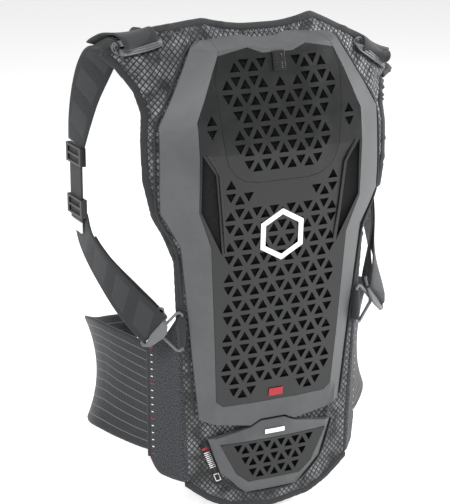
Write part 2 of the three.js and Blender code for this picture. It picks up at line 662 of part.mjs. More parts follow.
// Stations on a smooth curve through hand-placed ones, count of them between t0 and t1.
function smoothStations(knots, count, t0 = 0, t1 = 1) {
  const vectors = (key) => knots.map((knot) => new THREE.Vector3(...knot[key]));
  const centre = new THREE.CatmullRomCurve3(vectors('at'), false, 'centripetal');
  const turn = new THREE.CatmullRomCurve3(vectors('width'), false, 'catmullrom');
  return Array.from({ length: count + 1 }, (_, i) => {
    const t = THREE.MathUtils.lerp(t0, t1, i / count);
    const knot = Math.min(knots.length - 1, Math.round(t * (knots.length - 1)));
    return { at: centre.getPoint(t).toArray(), width: turn.getPoint(t).toArray(), wide: knots[knot].wide };
  });
}

const place = (x, y, z) => [x * WIDE, y, z * LONG];

// The mirror image of a geometry across the midline, with its faces still pointing out.
function flipped(geometry) {
  const copy = geometry.clone().scale(-1, 1, 1);
  const position = copy.attributes.position;
  for (let i = 0; i < position.count; i += 3) {
    const [x, y, z] = [position.getX(i), position.getY(i), position.getZ(i)];
    position.setXYZ(i, position.getX(i + 1), position.getY(i + 1), position.getZ(i + 1));
    position.setXYZ(i + 1, x, y, z);
  }
  copy.computeVertexNormals();
  return copy;
}

// ---------------------------------------------------------------- shoulder straps
const SLOT_DIRECTION = [-Math.cos(SLOT_TILT), 0.09, -Math.sin(SLOT_TILT)];
// The side ring stands just in front of the carrier's edge, and the hook's bar just outside it.
const RING_X = -106.5 * WIDE;
const RING_Z = 226 * LONG;
const RING_ROOM = 5.4;
const RING_Y = carrierFront(RING_X, RING_Z) - RING_ROOM;
const offsetFrom = ([x, y, z], dx, dy, dz) => [x + dx, y + dy, z + dz];
const BAR_CENTRE = offsetFrom([RING_X, RING_Y, RING_Z], -28.6, 11.4, 5.8);
const BAR_DIRECTION = new THREE.Vector3(-0.506, 0, -0.863).normalize();

const UPPER_END = 417;          // heights at which the webbing leaves the elastic straps
const LOWER_END = 333;
const upperKnots = [
  { at: place(-149, 70, 543), width: [-0.93, 0.2, -0.27], wide: STRAP_WIDTH },
  { at: place(-159, 89, 531), width: [-0.82, 0.5, -0.27], wide: STRAP_WIDTH },
  { at: place(-165, 103, 508), width: [-0.7, 0.68, -0.18], wide: STRAP_WIDTH },
  { at: place(-171, 115, 475), width: [-0.55, 0.83, -0.05], wide: STRAP_WIDTH },
  { at: place(-176, 122, 445), width: [-0.35, 0.93, 0], wide: STRAP_WIDTH },
  { at: place(-180, 125, UPPER_END), width: [-0.12, 0.99, 0], wide: STRAP_WIDTH },
];
const WEBBING_X = -181;
const WEBBING_Y = 125;
const webbingKnots = [
  { at: place(WEBBING_X, WEBBING_Y, 415), width: [-0.06, 1, 0], wide: WEBBING_WIDTH },
  { at: place(WEBBING_X, WEBBING_Y, 330), width: [-0.06, 1, 0], wide: WEBBING_WIDTH },
];
const lowerKnots = [
  { at: place(-177, 124, LOWER_END), width: [-0.06, 1, -0.05], wide: STRAP_WIDTH },
  { at: place(-175.5, 112, 309), width: [-0.12, 0.94, -0.3], wide: STRAP_WIDTH },
  { at: place(-167.5, 88, 284), width: [-0.25, 0.78, -0.55], wide: STRAP_WIDTH },
  { at: place(-153, 56, 257.5), width: [-0.42, 0.4, -0.8], wide: STRAP_WIDTH },
  { at: offsetFrom(BAR_CENTRE, -3.4, 6, 4.7), width: [-0.5, 0.04, -0.86], wide: STRAP_WIDTH },
];

// The loop sewn through the shoulder slot: up the outside, over the edge and down the inside.
const LOOP_BACK = STRAP_WIDTH / 4;   // a wider strap stands further off the curved shoulder
const LOOP_PATH = [
  [0, LOOP_BACK + 9.5, 19], [0, LOOP_BACK + 7.5, 12], [0, LOOP_BACK, 0], [0, -7.5, 0],
  [0, -7.5, 9], [-1, -1, 18], [-4, 5, 24], [-7, 14, 24], [-9, 21, 17],
];
// What hangs on the right shoulder slides down with it and turns with it.
function hung({ at: [x, y, z], width: [wx, wy, wz], wide }) {
  const turn = Math.abs(wx) * droopSlope * droopShare(z);
  return { at: [x, y, z - droop(-x, z)], width: [wx, wy, wz - turn], wide };
}

function loopStations() {
  const [x, z] = SLOT_CENTRE;
  return LOOP_PATH.map(([aside, depth, height]) => ({
    at: [x + aside, slotDepth + depth, z + height],
    width: SLOT_DIRECTION,
    wide: STRAP_WIDTH,
  }));
}

// A ladder buckle: rails and bars that stand round a strap, which runs through it along Z.
const BUCKLE_HEIGHT = 21;
const BUCKLE_REACH = BUCKLE_HEIGHT / 2 + 2.5;   // from its middle to the elastic's end
const BUCKLE_DEPTH = 7;
const BUCKLE_BAR = 3;
const STRAP_ROOM = 0.8;
function buckle(wide) {
  const inner = wide + 2 * STRAP_ROOM;
  const body = solid(new THREE.BoxGeometry(inner + 2 * BUCKLE_BAR, BUCKLE_DEPTH, BUCKLE_HEIGHT));
  const bore = new THREE.BoxGeometry(inner, STRAP_THICKNESS + 2 * STRAP_ROOM, 2 * BUCKLE_HEIGHT);
  const height = (BUCKLE_HEIGHT - 3 * BUCKLE_BAR) / 2;
  const step = (height + BUCKLE_BAR) / 2;
  const window = (z) => solid(prism(rectangle(0, z, inner - 4, height)));
  return body.subtract(solid(bore)).subtract(window(step)).subtract(window(-step));
}

// A frame of wire round a flat outline of [u, v] points, seen along its own normal.
function wireFrame(points, wire, depth) {
  return solid(prism(points, depth)).subtract(solid(prism(inset(points, wire))));
}

// The buckle's own frame: its width across the strap is X and its height along the strap is Z.
function standBuckle(name, width, at, turn) {
  const mesh = part(name, 'buckle', geometryOf(buckle(width)));
  mesh.position.set(...at);
  mesh.rotation.z = turn;
}

// The hook lies in the plane of its bar: U runs along the bar, V towards the ring.
const HOOK_HALF = STRAP_WIDTH / 2 + WIRE;
const hookOutline = [
  [-HOOK_HALF, -5], [HOOK_HALF, -5], [HOOK_HALF + 2, 0], [HOOK_HALF - 2, 8], [6, 16], [-1, 18],
  [-8, 15], [-HOOK_HALF - 2, 0],
];
function hookShape() {
  const frame = solid(prism(hookOutline, WIRE));
  const window = solid(prism(rectangle(0, -0.2, STRAP_WIDTH + 2, 3.6)));
  return frame.subtract(window);
}

// The side ring is a wire triangle: a straight bar on the carrier's side, a nose towards the hook.
const ringOutline = [[2, -20], [2, 20], [-2, 23.5], [-7, 22], [-25, 3], [-25, -3], [-7, -22], [-2, -23.5]];
const RING_TILT = THREE.MathUtils.degToRad(20);

// The hook hangs in the end of the lower strap, in the plane of its bar.
function hookPlace(geometry) {
  const along = BAR_DIRECTION.clone();
  const reach = new THREE.Vector3(10.1, -14, -1.8);
  reach.addScaledVector(along, -reach.dot(along)).normalize();
  const normal = new THREE.Vector3().crossVectors(reach, along).normalize();
  const basis = new THREE.Matrix4().makeBasis(along, normal, reach);
  return geometry.applyMatrix4(basis).translate(...BAR_CENTRE);
}

// The short webbing loop that ties the ring's bar to the carrier: a flat tube round the bar.
const TIE_HEIGHT = 34;
const TIE_BORE = WIRE + 2;
function ringTie() {
  const outer = solid(new THREE.BoxGeometry(9, 7.6, TIE_HEIGHT));
  const bore = solid(new THREE.BoxGeometry(TIE_BORE + 0.6, TIE_BORE, TIE_HEIGHT + 2));
  return geometryOf(outer.subtract(bore)).translate(RING_X, RING_Y, RING_Z);
}

const FLAP_STATIONS = 5;
const TAB_HEIGHT = 12;
for (const side of [-1, 1]) {
  const tag = side < 0 ? 'left' : 'right';
  const mirror = -side;
  const both = (geometry) => (side < 0 ? geometry : flipped(geometry));
  const shoulder = (stations) => (side < 0 ? stations : stations.map(hung));
  const loop = shoulder(loopStations());
  part(`strap_loop_${tag}`, 'webbing', ribbon(loop, STRAP_THICKNESS, mirror));
  const upper = smoothStations(shoulder(upperKnots), 12);
  part(`strap_upper_${tag}`, 'webbing', ribbon(upper, STRAP_THICKNESS, mirror));
  const flap = upper.slice(0, FLAP_STATIONS);
  part(`strap_flap_${tag}`, 'webbing', ribbon(flap, STRAP_THICKNESS, mirror, STRAP_THICKNESS + 1.3));
  const webbing = smoothStations(webbingKnots, 3);
  part(`webbing_${tag}`, 'webbing', ribbon(webbing, STRAP_THICKNESS, mirror));
  const tabSize = [STRAP_THICKNESS, WEBBING_WIDTH - 4, TAB_HEIGHT];
  const tab = new THREE.BoxGeometry(...tabSize).toNonIndexed();
  const tabPlace = [WEBBING_X * WIDE, WEBBING_Y, 330 * LONG - TAB_HEIGHT / 2 - TOUCH];
  part(`webbing_tab_${tag}`, 'white', both(tab.translate(...tabPlace)));
  const lower = smoothStations(lowerKnots, 10);
  part(`strap_lower_${tag}`, 'webbing', ribbon(lower, STRAP_THICKNESS, mirror));
  const buckleX = WEBBING_X * WIDE * mirror;
  const turn = (Math.PI / 2 + 0.06) * mirror;
  const high = UPPER_END * LONG - BUCKLE_REACH;
  const low = LOWER_END * LONG + BUCKLE_REACH;
  standBuckle(`buckle_upper_${tag}`, WEBBING_WIDTH, [buckleX, WEBBING_Y, high], turn);
  standBuckle(`buckle_lower_${tag}`, WEBBING_WIDTH, [buckleX, WEBBING_Y, low], turn);
  part(`strap_hook_${tag}`, 'hook', both(hookPlace(geometryOf(hookShape()))));
  const ring = geometryOf(wireFrame(ringOutline, WIRE, WIRE));
  ring.rotateZ(-RING_TILT).translate(RING_X, RING_Y, RING_Z);
  part(`side_ring_${tag}`, 'hook', both(ring));
  part(`ring_tie_${tag}`, 'tape', both(ringTie()));
}

// ---------------------------------------------------------------- kidney belt
// Stations round the left side: distance from the midline, depth, and the edges' heights.
const beltPanelStations = [
  [97.7, 19, 44, 201], [104, 26, 44, 202], [113, 36, 46, 203], [121, 46, 50, 203], [127, 53.5, 66, 202],
];
const beltBandStations = [
  [127.9, 54.6, 74, 202], [140, 68, 78, 208], [154, 86, 84, 215], [163, 106, 88, 219],
  [165, 126, 86, 216], [161, 146, 82, 209], [152, 166, 76, 200], [138, 183, 70, 191],
  [120, 198, 65, 186], [102, 200, 62, 185], [84, 200, 62, 186],
];
const SEAM_SLOPE = (104.7 - 97.7) / (201 - 44);
const SEAM_ROOM = TOUCH + PANEL_EDGE / 2;
const BELT_FLARE = 13;

// The belt flares at its edges and is drawn in at half height.
function beltWall(stations, thickness, flare, seam, heights) {
  const middle = stations.map(([x, y]) => new THREE.Vector2(x * WIDE, y));
  return bent(heights, 1, stations.length - 1, (across, through, up) => {
    const i = Math.round(up * (stations.length - 1));
    const before = middle[Math.max(0, i - 1)];
    const after = middle[Math.min(stations.length - 1, i + 1)];
    const run = after.clone().sub(before).normalize();
    const [, , low, high] = stations[i];
    const z = THREE.MathUtils.lerp(low, high, (across + 1) / 2) * LONG;
    const left = stations.length - 1 - i;
    const bow = flare * (across * across - 0.5) * Math.min(1, i / 3, Math.max(0, left - 2) / 2);
    const out = bow + (0.5 - through) * thickness;
    const lean = SEAM_SLOPE * WIDE * (z / LONG - 44) + SEAM_ROOM;
    const slope = seam ? (lean * left) / (stations.length - 1) : 0;
    const x = middle[i].x + run.y * out + slope;
    return [-x, middle[i].y - run.x * out, z];
  });
}

// The left end carries its closure on the inside, the right end on the outside.
const CLOSURE_THICKNESS = 2;
const CLOSURE_WIDTH = 15;
const CLOSURE_HEIGHT = 96;
for (const side of [-1, 1]) {
  const tag = side < 0 ? 'left' : 'right';
  const both = (geometry) => (side < 0 ? geometry : flipped(geometry));
  part(`belt_panel_${tag}`, 'neoprene', both(beltWall(beltPanelStations, PANEL_EDGE, 0, true, 4)));
  part(`belt_band_${tag}`, 'band', both(beltWall(beltBandStations, BELT_THICKNESS, BELT_FLARE, false, 6)));
  const closure = new THREE.BoxGeometry(CLOSURE_WIDTH, CLOSURE_THICKNESS, CLOSURE_HEIGHT * LONG);
  const depth = 200 + side * (BELT_THICKNESS / 2 + CLOSURE_THICKNESS / 2 + TOUCH);
  part(`belt_closure_${tag}`, 'spacer', closure.translate(side * 94 * WIDE, depth, 124 * LONG));
}

// The origin: on the wearer's back, at the waist.
const WAIST = WAIST_HEIGHT * LONG;
protector.position.set(0, -(carrierBack(0, WAIST) + LAYER_GAP + LINER_THICKNESS), -WAIST);

export default protector;
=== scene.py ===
# %% [markdown]
# # A back protector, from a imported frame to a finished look
# The real thing is a stack of three crafts. Moulded plates take the blow, a sewn carrier of quilted
# mesh holds them on the back, and elastic straps and a belt pull the carrier against the body.
# Every cell below makes one of those pieces, or one of the finishes they share.

# %% Load the frame and keep its size
import math

import bmesh
import bpy
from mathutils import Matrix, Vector
from mathutils.bvhtree import BVHTree


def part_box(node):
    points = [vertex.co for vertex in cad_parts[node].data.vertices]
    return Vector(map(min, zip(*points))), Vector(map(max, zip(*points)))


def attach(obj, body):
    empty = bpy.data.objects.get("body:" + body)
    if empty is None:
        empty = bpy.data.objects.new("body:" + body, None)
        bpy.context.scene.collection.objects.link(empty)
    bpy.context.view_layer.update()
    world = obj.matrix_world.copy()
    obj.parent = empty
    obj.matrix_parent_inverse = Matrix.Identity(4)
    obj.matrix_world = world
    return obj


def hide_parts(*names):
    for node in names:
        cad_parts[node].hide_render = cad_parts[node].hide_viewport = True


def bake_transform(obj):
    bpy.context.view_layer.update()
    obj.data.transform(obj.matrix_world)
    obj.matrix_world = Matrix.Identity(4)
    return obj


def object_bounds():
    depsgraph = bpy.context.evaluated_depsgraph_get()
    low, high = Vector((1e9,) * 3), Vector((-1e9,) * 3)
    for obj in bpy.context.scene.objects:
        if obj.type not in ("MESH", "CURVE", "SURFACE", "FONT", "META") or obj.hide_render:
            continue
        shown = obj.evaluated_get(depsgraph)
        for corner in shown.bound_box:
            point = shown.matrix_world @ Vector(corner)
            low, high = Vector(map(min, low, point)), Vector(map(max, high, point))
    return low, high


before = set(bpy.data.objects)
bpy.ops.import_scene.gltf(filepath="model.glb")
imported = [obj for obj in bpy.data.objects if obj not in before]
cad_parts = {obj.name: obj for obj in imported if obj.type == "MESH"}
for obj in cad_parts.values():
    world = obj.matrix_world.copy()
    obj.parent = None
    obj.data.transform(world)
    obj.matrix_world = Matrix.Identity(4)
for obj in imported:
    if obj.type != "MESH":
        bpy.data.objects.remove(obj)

CAD_BOX = [[float(v) for v in corner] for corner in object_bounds()]
SIDES = {"left": -1, "right": 1}
print("the frame measures", [round(b - a, 3) for a, b in zip(*CAD_BOX)])

# %% [markdown]
# ## Tools for drawing
# The drawing is in millimetres from the hem, and the frame has its origin on the wearer's back at
# the waist. One function turns the first into the second, so that a knot can be read off a drawing.

# %% Millimetres on the drawing to metres in the frame
WAIST = (0, 22.9, 150)


def at(x, y, z):
    return Vector((x - WAIST[0], y - WAIST[1], z - WAIST[2])) / 1000


def mirrored(point, side):
    """A point drawn on the left side, moved to the asked side."""
    return Vector((-side * point[0], point[1], point[2]))


def smooth(value, low, high):
    t = min(1, max(0, (value - low) / (high - low)))
    return t * t * (3 - 2 * t)


print("the shoulder corner is at", at(-172, 40, 523))

# %% [markdown]
# ## Measuring the frame
# A ray sent from the front meets a CAD piece where its surface is. Rays give the depth of the carrier
# under every stitch, and its outline, so that the cloth is cut to the same pattern as the frame.

# %% Rays that measure CAD pieces
def faces_of(*nodes):
    shape = bmesh.new()
    for node in nodes:
        shape.from_mesh(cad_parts[node].data)
    tree = BVHTree.FromBMesh(shape)
    shape.free()
    return tree


def depth(tree, x, z, way=1):
    """How far back the first face is, seen from the front, or with way=-1 from the wearer."""
    hit = tree.ray_cast(Vector((x, -0.4 * way, z)), Vector((0, way, 0)))[0]
    return None if hit is None else hit.y


STEP, SECOND_LOOK = 0.0005, 0.0022      # how fine the search is, and how far up it looks again


def half_width(tree, z, start=0.2, way=1):
    """How far out the piece reaches at a height, on the right, or with way=-1 on the left."""
    x = start
    while x > 0 and depth(tree, way * x, z) is None and depth(tree, way * x, z + SECOND_LOOK) is None:
        x -= STEP
    return x


def top_edge(tree, x, way=1):
    """The piece's top edge at x, or with way=-1 its lower edge."""
    z = 0.45 * way
    while depth(tree, x, z) is None and abs(z) > STEP:
        z -= STEP * way
    return z


cloth_rays = faces_of("back_panel", "tail_panel")
print("the carrier is", round(2 * half_width(cloth_rays, 0.28), 3), "m across the shoulders")

# %% [markdown]
# ## Making meshes
# Nearly every soft piece here is either a slab, which is a sheet with a thickness and rounded edges,
# or a loft, which is one cross-section carried along a path. Both keep a UV map in metres, so that
# a weave keeps its real scale wherever the cloth bends.

# %% Mesh, slab and loft
def make_object(name, vertices, faces, uvs=None):
    mesh = bpy.data.meshes.new(name)
    mesh.from_pydata([tuple(v) for v in vertices], [], faces)
    if uvs is not None:
        layer = mesh.uv_layers.new(name="cloth")
        for loop in mesh.loops:
            layer.data[loop.index].uv = uvs[loop.vertex_index]
    tidy = bmesh.new()
    tidy.from_mesh(mesh)
    bmesh.ops.remove_doubles(tidy, verts=tidy.verts, dist=1e-6)
    bmesh.ops.recalc_face_normals(tidy, faces=tidy.faces)
    tidy.to_mesh(mesh)
    tidy.free()
    for polygon in mesh.polygons:
        polygon.use_smooth = True
    piece = bpy.data.objects.new(name, mesh)
    bpy.context.collection.objects.link(piece)
    return piece


def slab(name, middle, half, uv, round_cells=2):
    """A closed sheet. middle[i][j] is a point and half[i][j] the vector from it to the back face."""
    rows, columns = len(middle), len(middle[0])
    vertices, uvs, faces = [], [], []
    for way in (-1, 1):
        for i in range(rows):
            for j in range(columns):
                edge = min(i, j, rows - 1 - i, columns - 1 - j) / round_cells
                full = math.sqrt(max(0, 1 - (1 - min(1, edge)) ** 2))
                vertices.append(middle[i][j] + half[i][j] * way * full)
                uvs.append(uv(i, j))
    for way in (0, rows * columns):
        for i in range(rows - 1):
            for j in range(columns - 1):
                a = way + i * columns + j
                faces.append((a, a + 1, a + columns + 1, a + columns))
    return make_object(name, vertices, faces, uvs)


def loft(name, stations, section, closed=False):
    """section is a ring of (across, out) points, and a station is (point, across, out) vectors."""
    count, vertices, uvs, faces, run = len(section), [], [], [], 0
    for i, (point, across, out) in enumerate(stations):
        run += (point - stations[i - 1][0]).length if i else 0
        for j, (a, b) in enumerate(section):
            vertices.append(point + across * a + out * b)
            uvs.append((a * across.length, run))
    steps = len(stations) if closed else len(stations) - 1
    for i in range(steps):
        for j in range(count):
            a, b = i * count, ((i + 1) % len(stations)) * count
            faces.append((a + j, a + (j + 1) % count, b + (j + 1) % count, b + j))
    if not closed:
        for i, turn in ((0, 1), (len(stations) - 1, -1)):
            ring = [i * count + j for j in range(count)]
            faces.append(ring[::turn])
    return make_object(name, vertices, faces, uvs)


def circle(count):
    """A round section of (across, out) points."""
    return [(math.cos(2 * math.pi * k / count), math.sin(2 * math.pi * k / count)) for k in range(count)]


BOX_SIDES = ((0, 1, 2, 3), (4, 5, 6, 7), (0, 1, 5, 4), (1, 2, 6, 5), (2, 3, 7, 6), (3, 0, 4, 7))


def add_box(vertices, faces, corners):
    """Adds a box of eight corners, four below and four above, to a mesh's lists."""
    first = len(vertices)
    vertices.extend(corners)
    faces.extend(tuple(first + n for n in side) for side in BOX_SIDES)


print("slab and loft are ready")

# %% [markdown]
# A path is drawn with a few knots. A Catmull-Rom curve passes through all of them and bends evenly
# in between, as a strap under light tension does.

# %% Smooth runs through a few knots
def spline(values, t):
    """The value at t, from 0 to 1, on a smooth curve through the values."""
    place = t * (len(values) - 1)
    k = min(len(values) - 2, int(place))
    f = place - k
    p0, p1, p2, p3 = (values[min(len(values) - 1, max(0, k + n))] for n in (-1, 0, 1, 2))
    m1, m2 = (p2 - p0) / 2, (p3 - p1) / 2
    a, b = 2 * f ** 3 - 3 * f ** 2 + 1, f ** 3 - 2 * f ** 2 + f
    return p1 * a + m1 * b + p2 * (1 - a) + m2 * (f ** 3 - f ** 2)


def ribbon_stations(knots, wide, steps):
    """Stations from knots of (point, direction of the width), with out square to both."""
    points = [k[0] for k in knots]
    widths = [k[1].normalized() for k in knots]
    line = [spline(points, i / steps) for i in range(steps + 1)]
    stations = []
    for i, point in enumerate(line):
        along = line[min(steps, i + 1)] - line[max(0, i - 1)]
        across = spline(widths, i / steps)
        across = (across - along * across.dot(along) / along.length_squared).normalized()
        stations.append((point, across * wide / 2, along.cross(across).normalized()))
    return stations


def rounded_strip(thick, points=4):
    """The cross-section of a strap: flat, with round selvedges. It is two units wide."""
    ring = []
    for way in (1, -1):
        for i in range(9):
            ring.append((way * (-0.94 + 0.235 * i), -way * thick / 2))
        for i in range(1, points):
            angle = math.pi * i / points
            ring.append((way * (0.94 + 0.06 * math.sin(angle)), -way * thick / 2 * math.cos(angle)))
    return ring


print("a strap's section has", len(rounded_strip(0.002)), "points")

# %% [markdown]
# ## Making finishes
# A finish is a small tree of nodes in front of one shader. The first function turns a colour as a
# dyer or a moulder would name it, in sRGB hex, into the linear light that Blender adds up. The second
# adds one node with its settings and its links, so that each tree below reads like a recipe.

# %% Colour, nodes and a bare finish
def linear(code):
    parts = [int(code[i:i + 2], 16) / 255 for i in (1, 3, 5)]
    return (*(p / 12.92 if p <= 0.04045 else ((p + 0.055) / 1.055) ** 2.4 for p in parts), 1)


def add(tree, kind, inputs=None, **settings):
    node = tree.nodes.new(kind)
    for name, value in settings.items():
        setattr(node, name, value)
    for key, value in (inputs or {}).items():
        if isinstance(value, bpy.types.NodeSocket):
            tree.links.new(value, node.inputs[key])
        else:
            node.inputs[key].default_value = value
    return node


def finish_of(name, roughness, **constants):
    """A material with its shader, ready for a pattern."""
    material = bpy.data.materials.new(name)
    material.use_nodes = True
    tree = material.node_tree
    shader = tree.nodes["Principled BSDF"]
    shader.inputs["Roughness"].default_value = roughness
    for key, value in constants.items():
        shader.inputs[key.replace("_", " ")].default_value = value
    return material, tree, shader


def mix_colours(tree, factor, dark, light):
    """Two dyes, mixed by a pattern."""
    node = add(tree, "ShaderNodeMix", {0: factor, 6: linear(dark), 7: linear(light)},
               data_type="RGBA")
    return node.outputs[2]


FINISH = {}
print("black cloth is", [round(v, 4) for v in linear("#232426")])

# %% [markdown]
# ** Quilted mesh knit.** The carrier is a polyester warp knit over thin foam. Its lattice of dark yarn
# leaves small padded diamonds. Their colour carries a painted sheen, in clouds about 18 mm across,
# lighter in some places than in others. The diamonds are 6 mm wide and 7 mm tall. They follow the
# cloth through its UV map.

# %% Finish: quilted mesh knit
def triangle_wave(tree, value):
    return add(tree, "ShaderNodeMath", {0: value, 1: 0.5}, operation="PINGPONG").outputs[0]


DIAMOND_WIDE, DIAMOND_TALL = 0.006, 0.007


def quilted_knit():
    material, tree, shader = finish_of("quilted_polyester_knit", 0.5, Sheen_Weight=0.1,
                                       Specular_IOR_Level=0.5)
    place = add(tree, "ShaderNodeUVMap", uv_map="cloth").outputs[0]
    axes = add(tree, "ShaderNodeSeparateXYZ", {0: place}).outputs
    wide = add(tree, "ShaderNodeMath", {0: axes[0], 1: 1 / DIAMOND_WIDE},
               operation="MULTIPLY").outputs[0]
    tall = add(tree, "ShaderNodeMath", {0: axes[1], 1: 1 / DIAMOND_TALL},
               operation="MULTIPLY").outputs[0]
    rising = add(tree, "ShaderNodeMath", {0: wide, 1: tall}, operation="ADD").outputs[0]
    falling = add(tree, "ShaderNodeMath", {0: wide, 1: tall}, operation="SUBTRACT").outputs[0]
    waves = triangle_wave(tree, rising), triangle_wave(tree, falling)
    pad = add(tree, "ShaderNodeMath", {0: waves[0], 1: waves[1]}, operation="MINIMUM").outputs[0]
    diamond = add(tree, "ShaderNodeMapRange", {0: pad, 1: 0.07, 2: 0.2},
                  interpolation_type="SMOOTHSTEP").outputs[0]
    # painted sheen: noise clouds lighten the diamonds' colour, standing in for light caught by the yarn
    cloud = add(tree, "ShaderNodeTexNoise", {"Vector": place, "Scale": 55, "Detail": 4}).outputs[0]
    painted_sheen = add(tree, "ShaderNodeMapRange", {0: cloud, 1: 0.38, 2: 0.66, 3: 0.05, 4: 1}).outputs[0]
    diamond_with_painted_sheen = add(tree, "ShaderNodeMath", {0: diamond, 1: painted_sheen}, operation="MULTIPLY").outputs[0]
    tree.links.new(mix_colours(tree, diamond_with_painted_sheen, "#0b0c0d", "#717376"), shader.inputs["Base Color"])
    gloss = add(tree, "ShaderNodeMapRange", {0: diamond, 3: 0.8, 4: 0.4}).outputs[0]
    tree.links.new(gloss, shader.inputs["Roughness"])
    relief = add(tree, "ShaderNodeBump", {"Height": pad, "Distance": 0.0012, "Strength": 0.8})
    tree.links.new(relief.outputs[0], shader.inputs["Normal"])
    return material


FINISH["mesh_fabric"] = quilted_knit()
print("made", FINISH["mesh_fabric"].name)

# %% [markdown]
# **Ribbed elastic.** Binding tape, the shoulder straps and the belt are all woven round rubber
# threads, so fine ribs lie across or along them. One recipe serves them, with its own rib spacing and
# dyes. The straps have tonal blocks 22 mm long knitted in, one every 40 mm, as a plain stand-in for
# their pattern. The belt has twelve pale threads across its height.

# %% Finish: ribbed elastics
BELT_HEIGHT = 0.13
BLOCKS_REACH = 0.0125      # the blocks stop this far from the strap's middle


def ribbed_elastic(name, dark, light, rib, along, blocks=0.0, lines=0, line_dye="#7f8184"):
    """Ribs lie across the length, or with along=False run down it. blocks is their pitch."""
    material, tree, shader = finish_of(name, 0.78, Sheen_Weight=0.15, Specular_IOR_Level=0.35)
    place = add(tree, "ShaderNodeUVMap", uv_map="cloth").outputs[0]
    axes = add(tree, "ShaderNodeSeparateXYZ", {0: place}).outputs
    ribs = add(tree, "ShaderNodeMath", {0: axes[1 if along else 0], 1: 2 * math.pi / rib},
               operation="MULTIPLY").outputs[0]
    wave = add(tree, "ShaderNodeMath", {0: ribs}, operation="SINE").outputs[0]
    fluff = add(tree, "ShaderNodeTexNoise", {"Vector": place, "Scale": 900, "Detail": 3}).outputs[0]
    pattern = add(tree, "ShaderNodeMath", {0: wave, 1: 0.22, 2: fluff},
                  operation="MULTIPLY_ADD").outputs[0]
    if blocks:
        slant = add(tree, "ShaderNodeMath", {0: axes[0], 1: 0.45, 2: axes[1]},
                    operation="MULTIPLY_ADD").outputs[0]
        step = add(tree, "ShaderNodeMath", {0: slant, 1: 1 / blocks}, operation="MULTIPLY").outputs[0]
        part = triangle_wave(tree, step)
        bar = add(tree, "ShaderNodeMapRange", {0: part, 1: 0.2, 2: 0.22, 3: 0, 4: 0.55}).outputs[0]
        side = add(tree, "ShaderNodeMath", {0: axes[0]}, operation="ABSOLUTE").outputs[0]
        middle = add(tree, "ShaderNodeMapRange", {0: side, 1: BLOCKS_REACH, 2: BLOCKS_REACH + 0.001,
                                                  3: 1, 4: 0}).outputs[0]
        bar = add(tree, "ShaderNodeMath", {0: bar, 1: middle}, operation="MULTIPLY").outputs[0]
        pattern = add(tree, "ShaderNodeMath", {0: pattern, 1: bar}, operation="ADD").outputs[0]
    colour = mix_colours(tree, pattern, dark, light)
    if lines:
        thread = add(tree, "ShaderNodeMath", {0: axes[1], 1: lines / BELT_HEIGHT},
                     operation="MULTIPLY").outputs[0]
        gap = triangle_wave(tree, thread)
        pale = add(tree, "ShaderNodeMapRange", {0: gap, 1: 0.022, 2: 0.05, 3: 0.6, 4: 0}).outputs[0]
        colour = add(tree, "ShaderNodeMix", {0: pale, 6: colour, 7: linear(line_dye)},
                     data_type="RGBA").outputs[2]
    tree.links.new(colour, shader.inputs["Base Color"])
    relief = add(tree, "ShaderNodeBump", {"Height": pattern, "Distance": 0.0004, "Strength": 0.7})
    tree.links.new(relief.outputs[0], shader.inputs["Normal"])
    return material


FINISH["binding_tape"] = ribbed_elastic("ribbed_binding_elastic", "#131415", "#313336", 0.0016, True)
FINISH["strap_webbing"] = ribbed_elastic("woven_strap_elastic", "#111214", "#303235", 0.0014, False,
                                         blocks=0.04)
FINISH["plain_webbing"] = ribbed_elastic("polyester_webbing", "#0f1011", "#2c2e30", 0.0018, True)
FINISH["elastic_band"] = ribbed_elastic("knitted_belt_elastic", "#17181a", "#36383b", 0.0021, False,
                                        lines=12)
print("made", len(FINISH), "fabrics")

# %% [markdown]
# **Neoprene, spacer mesh, foam and fleece.** Neoprene has a heathered jersey face. Spacer mesh is a
# net of holes 3 mm apart. Foam is dull and full of pores, and the closure is a felt of hooks. All are
# noise or cells. The pores and the felt are drawn about 1 mm across, coarser than they are, so that
# they show. Object coordinates place them where a piece has no UV map.

# %% Finish: heather, spacer net, foam and fleece
def speckled(name, dark, light, scale, depth_m, cells=False, low=0.35, high=0.65, rough=0.9, uv=False):
    """Specks, scale of them to a metre, between two dyes. Past high it is all the light one."""
    material, tree, shader = finish_of(name, rough, Sheen_Weight=0.1, Specular_IOR_Level=0.3)
    if uv:
        place = add(tree, "ShaderNodeUVMap", uv_map="cloth").outputs[0]
    else:
        place = add(tree, "ShaderNodeTexCoord").outputs["Object"]
    kind = "ShaderNodeTexVoronoi" if cells else "ShaderNodeTexNoise"
    speck = add(tree, kind, {"Vector": place, "Scale": scale}).outputs[0]
    share = add(tree, "ShaderNodeMapRange", {0: speck, 1: low, 2: high}).outputs[0]
    tree.links.new(mix_colours(tree, share, dark, light), shader.inputs["Base Color"])
    relief = add(tree, "ShaderNodeBump", {"Height": share, "Distance": depth_m, "Strength": 0.6})
    tree.links.new(relief.outputs[0], shader.inputs["Normal"])
    return material


FINISH["neoprene"] = speckled("heathered_neoprene", "#101113", "#4c4e52", 900, 0.0002,
                              low=0.4, high=0.62, uv=True)
FINISH["spacer_mesh"] = speckled("polyester_spacer_mesh", "#0b0c0d", "#3a3c3e", 330, 0.001, cells=True,
                                 low=0.3, high=0.5)
FINISH["foam"] = speckled("impact_foam", "#060607", "#141517", 900, 0.0003)
FINISH["closure_fleece"] = speckled("closure_felt", "#0d0e0f", "#2c2d2f", 1500, 0.0005)
FINISH["label_cloth"] = speckled("woven_satin_label", "#0c0c0d", "#1b1c1d", 1600, 0.0001, rough=0.55)
print("made", len(FINISH), "finishes so far")

# %% [markdown]
# **Moulded plastics.** The guard is injection-moulded polypropylene from a spark-eroded tool, whose
# grain of about 0.4 mm is drawn as 0.8 mm so that it shows. It scatters light evenly, with faint
# clouds where the melt cooled. The black lattice is the same plastic, smoother. The hooks and buckles
# are acetal, which is slicker. Printed marks are a thick satin ink.

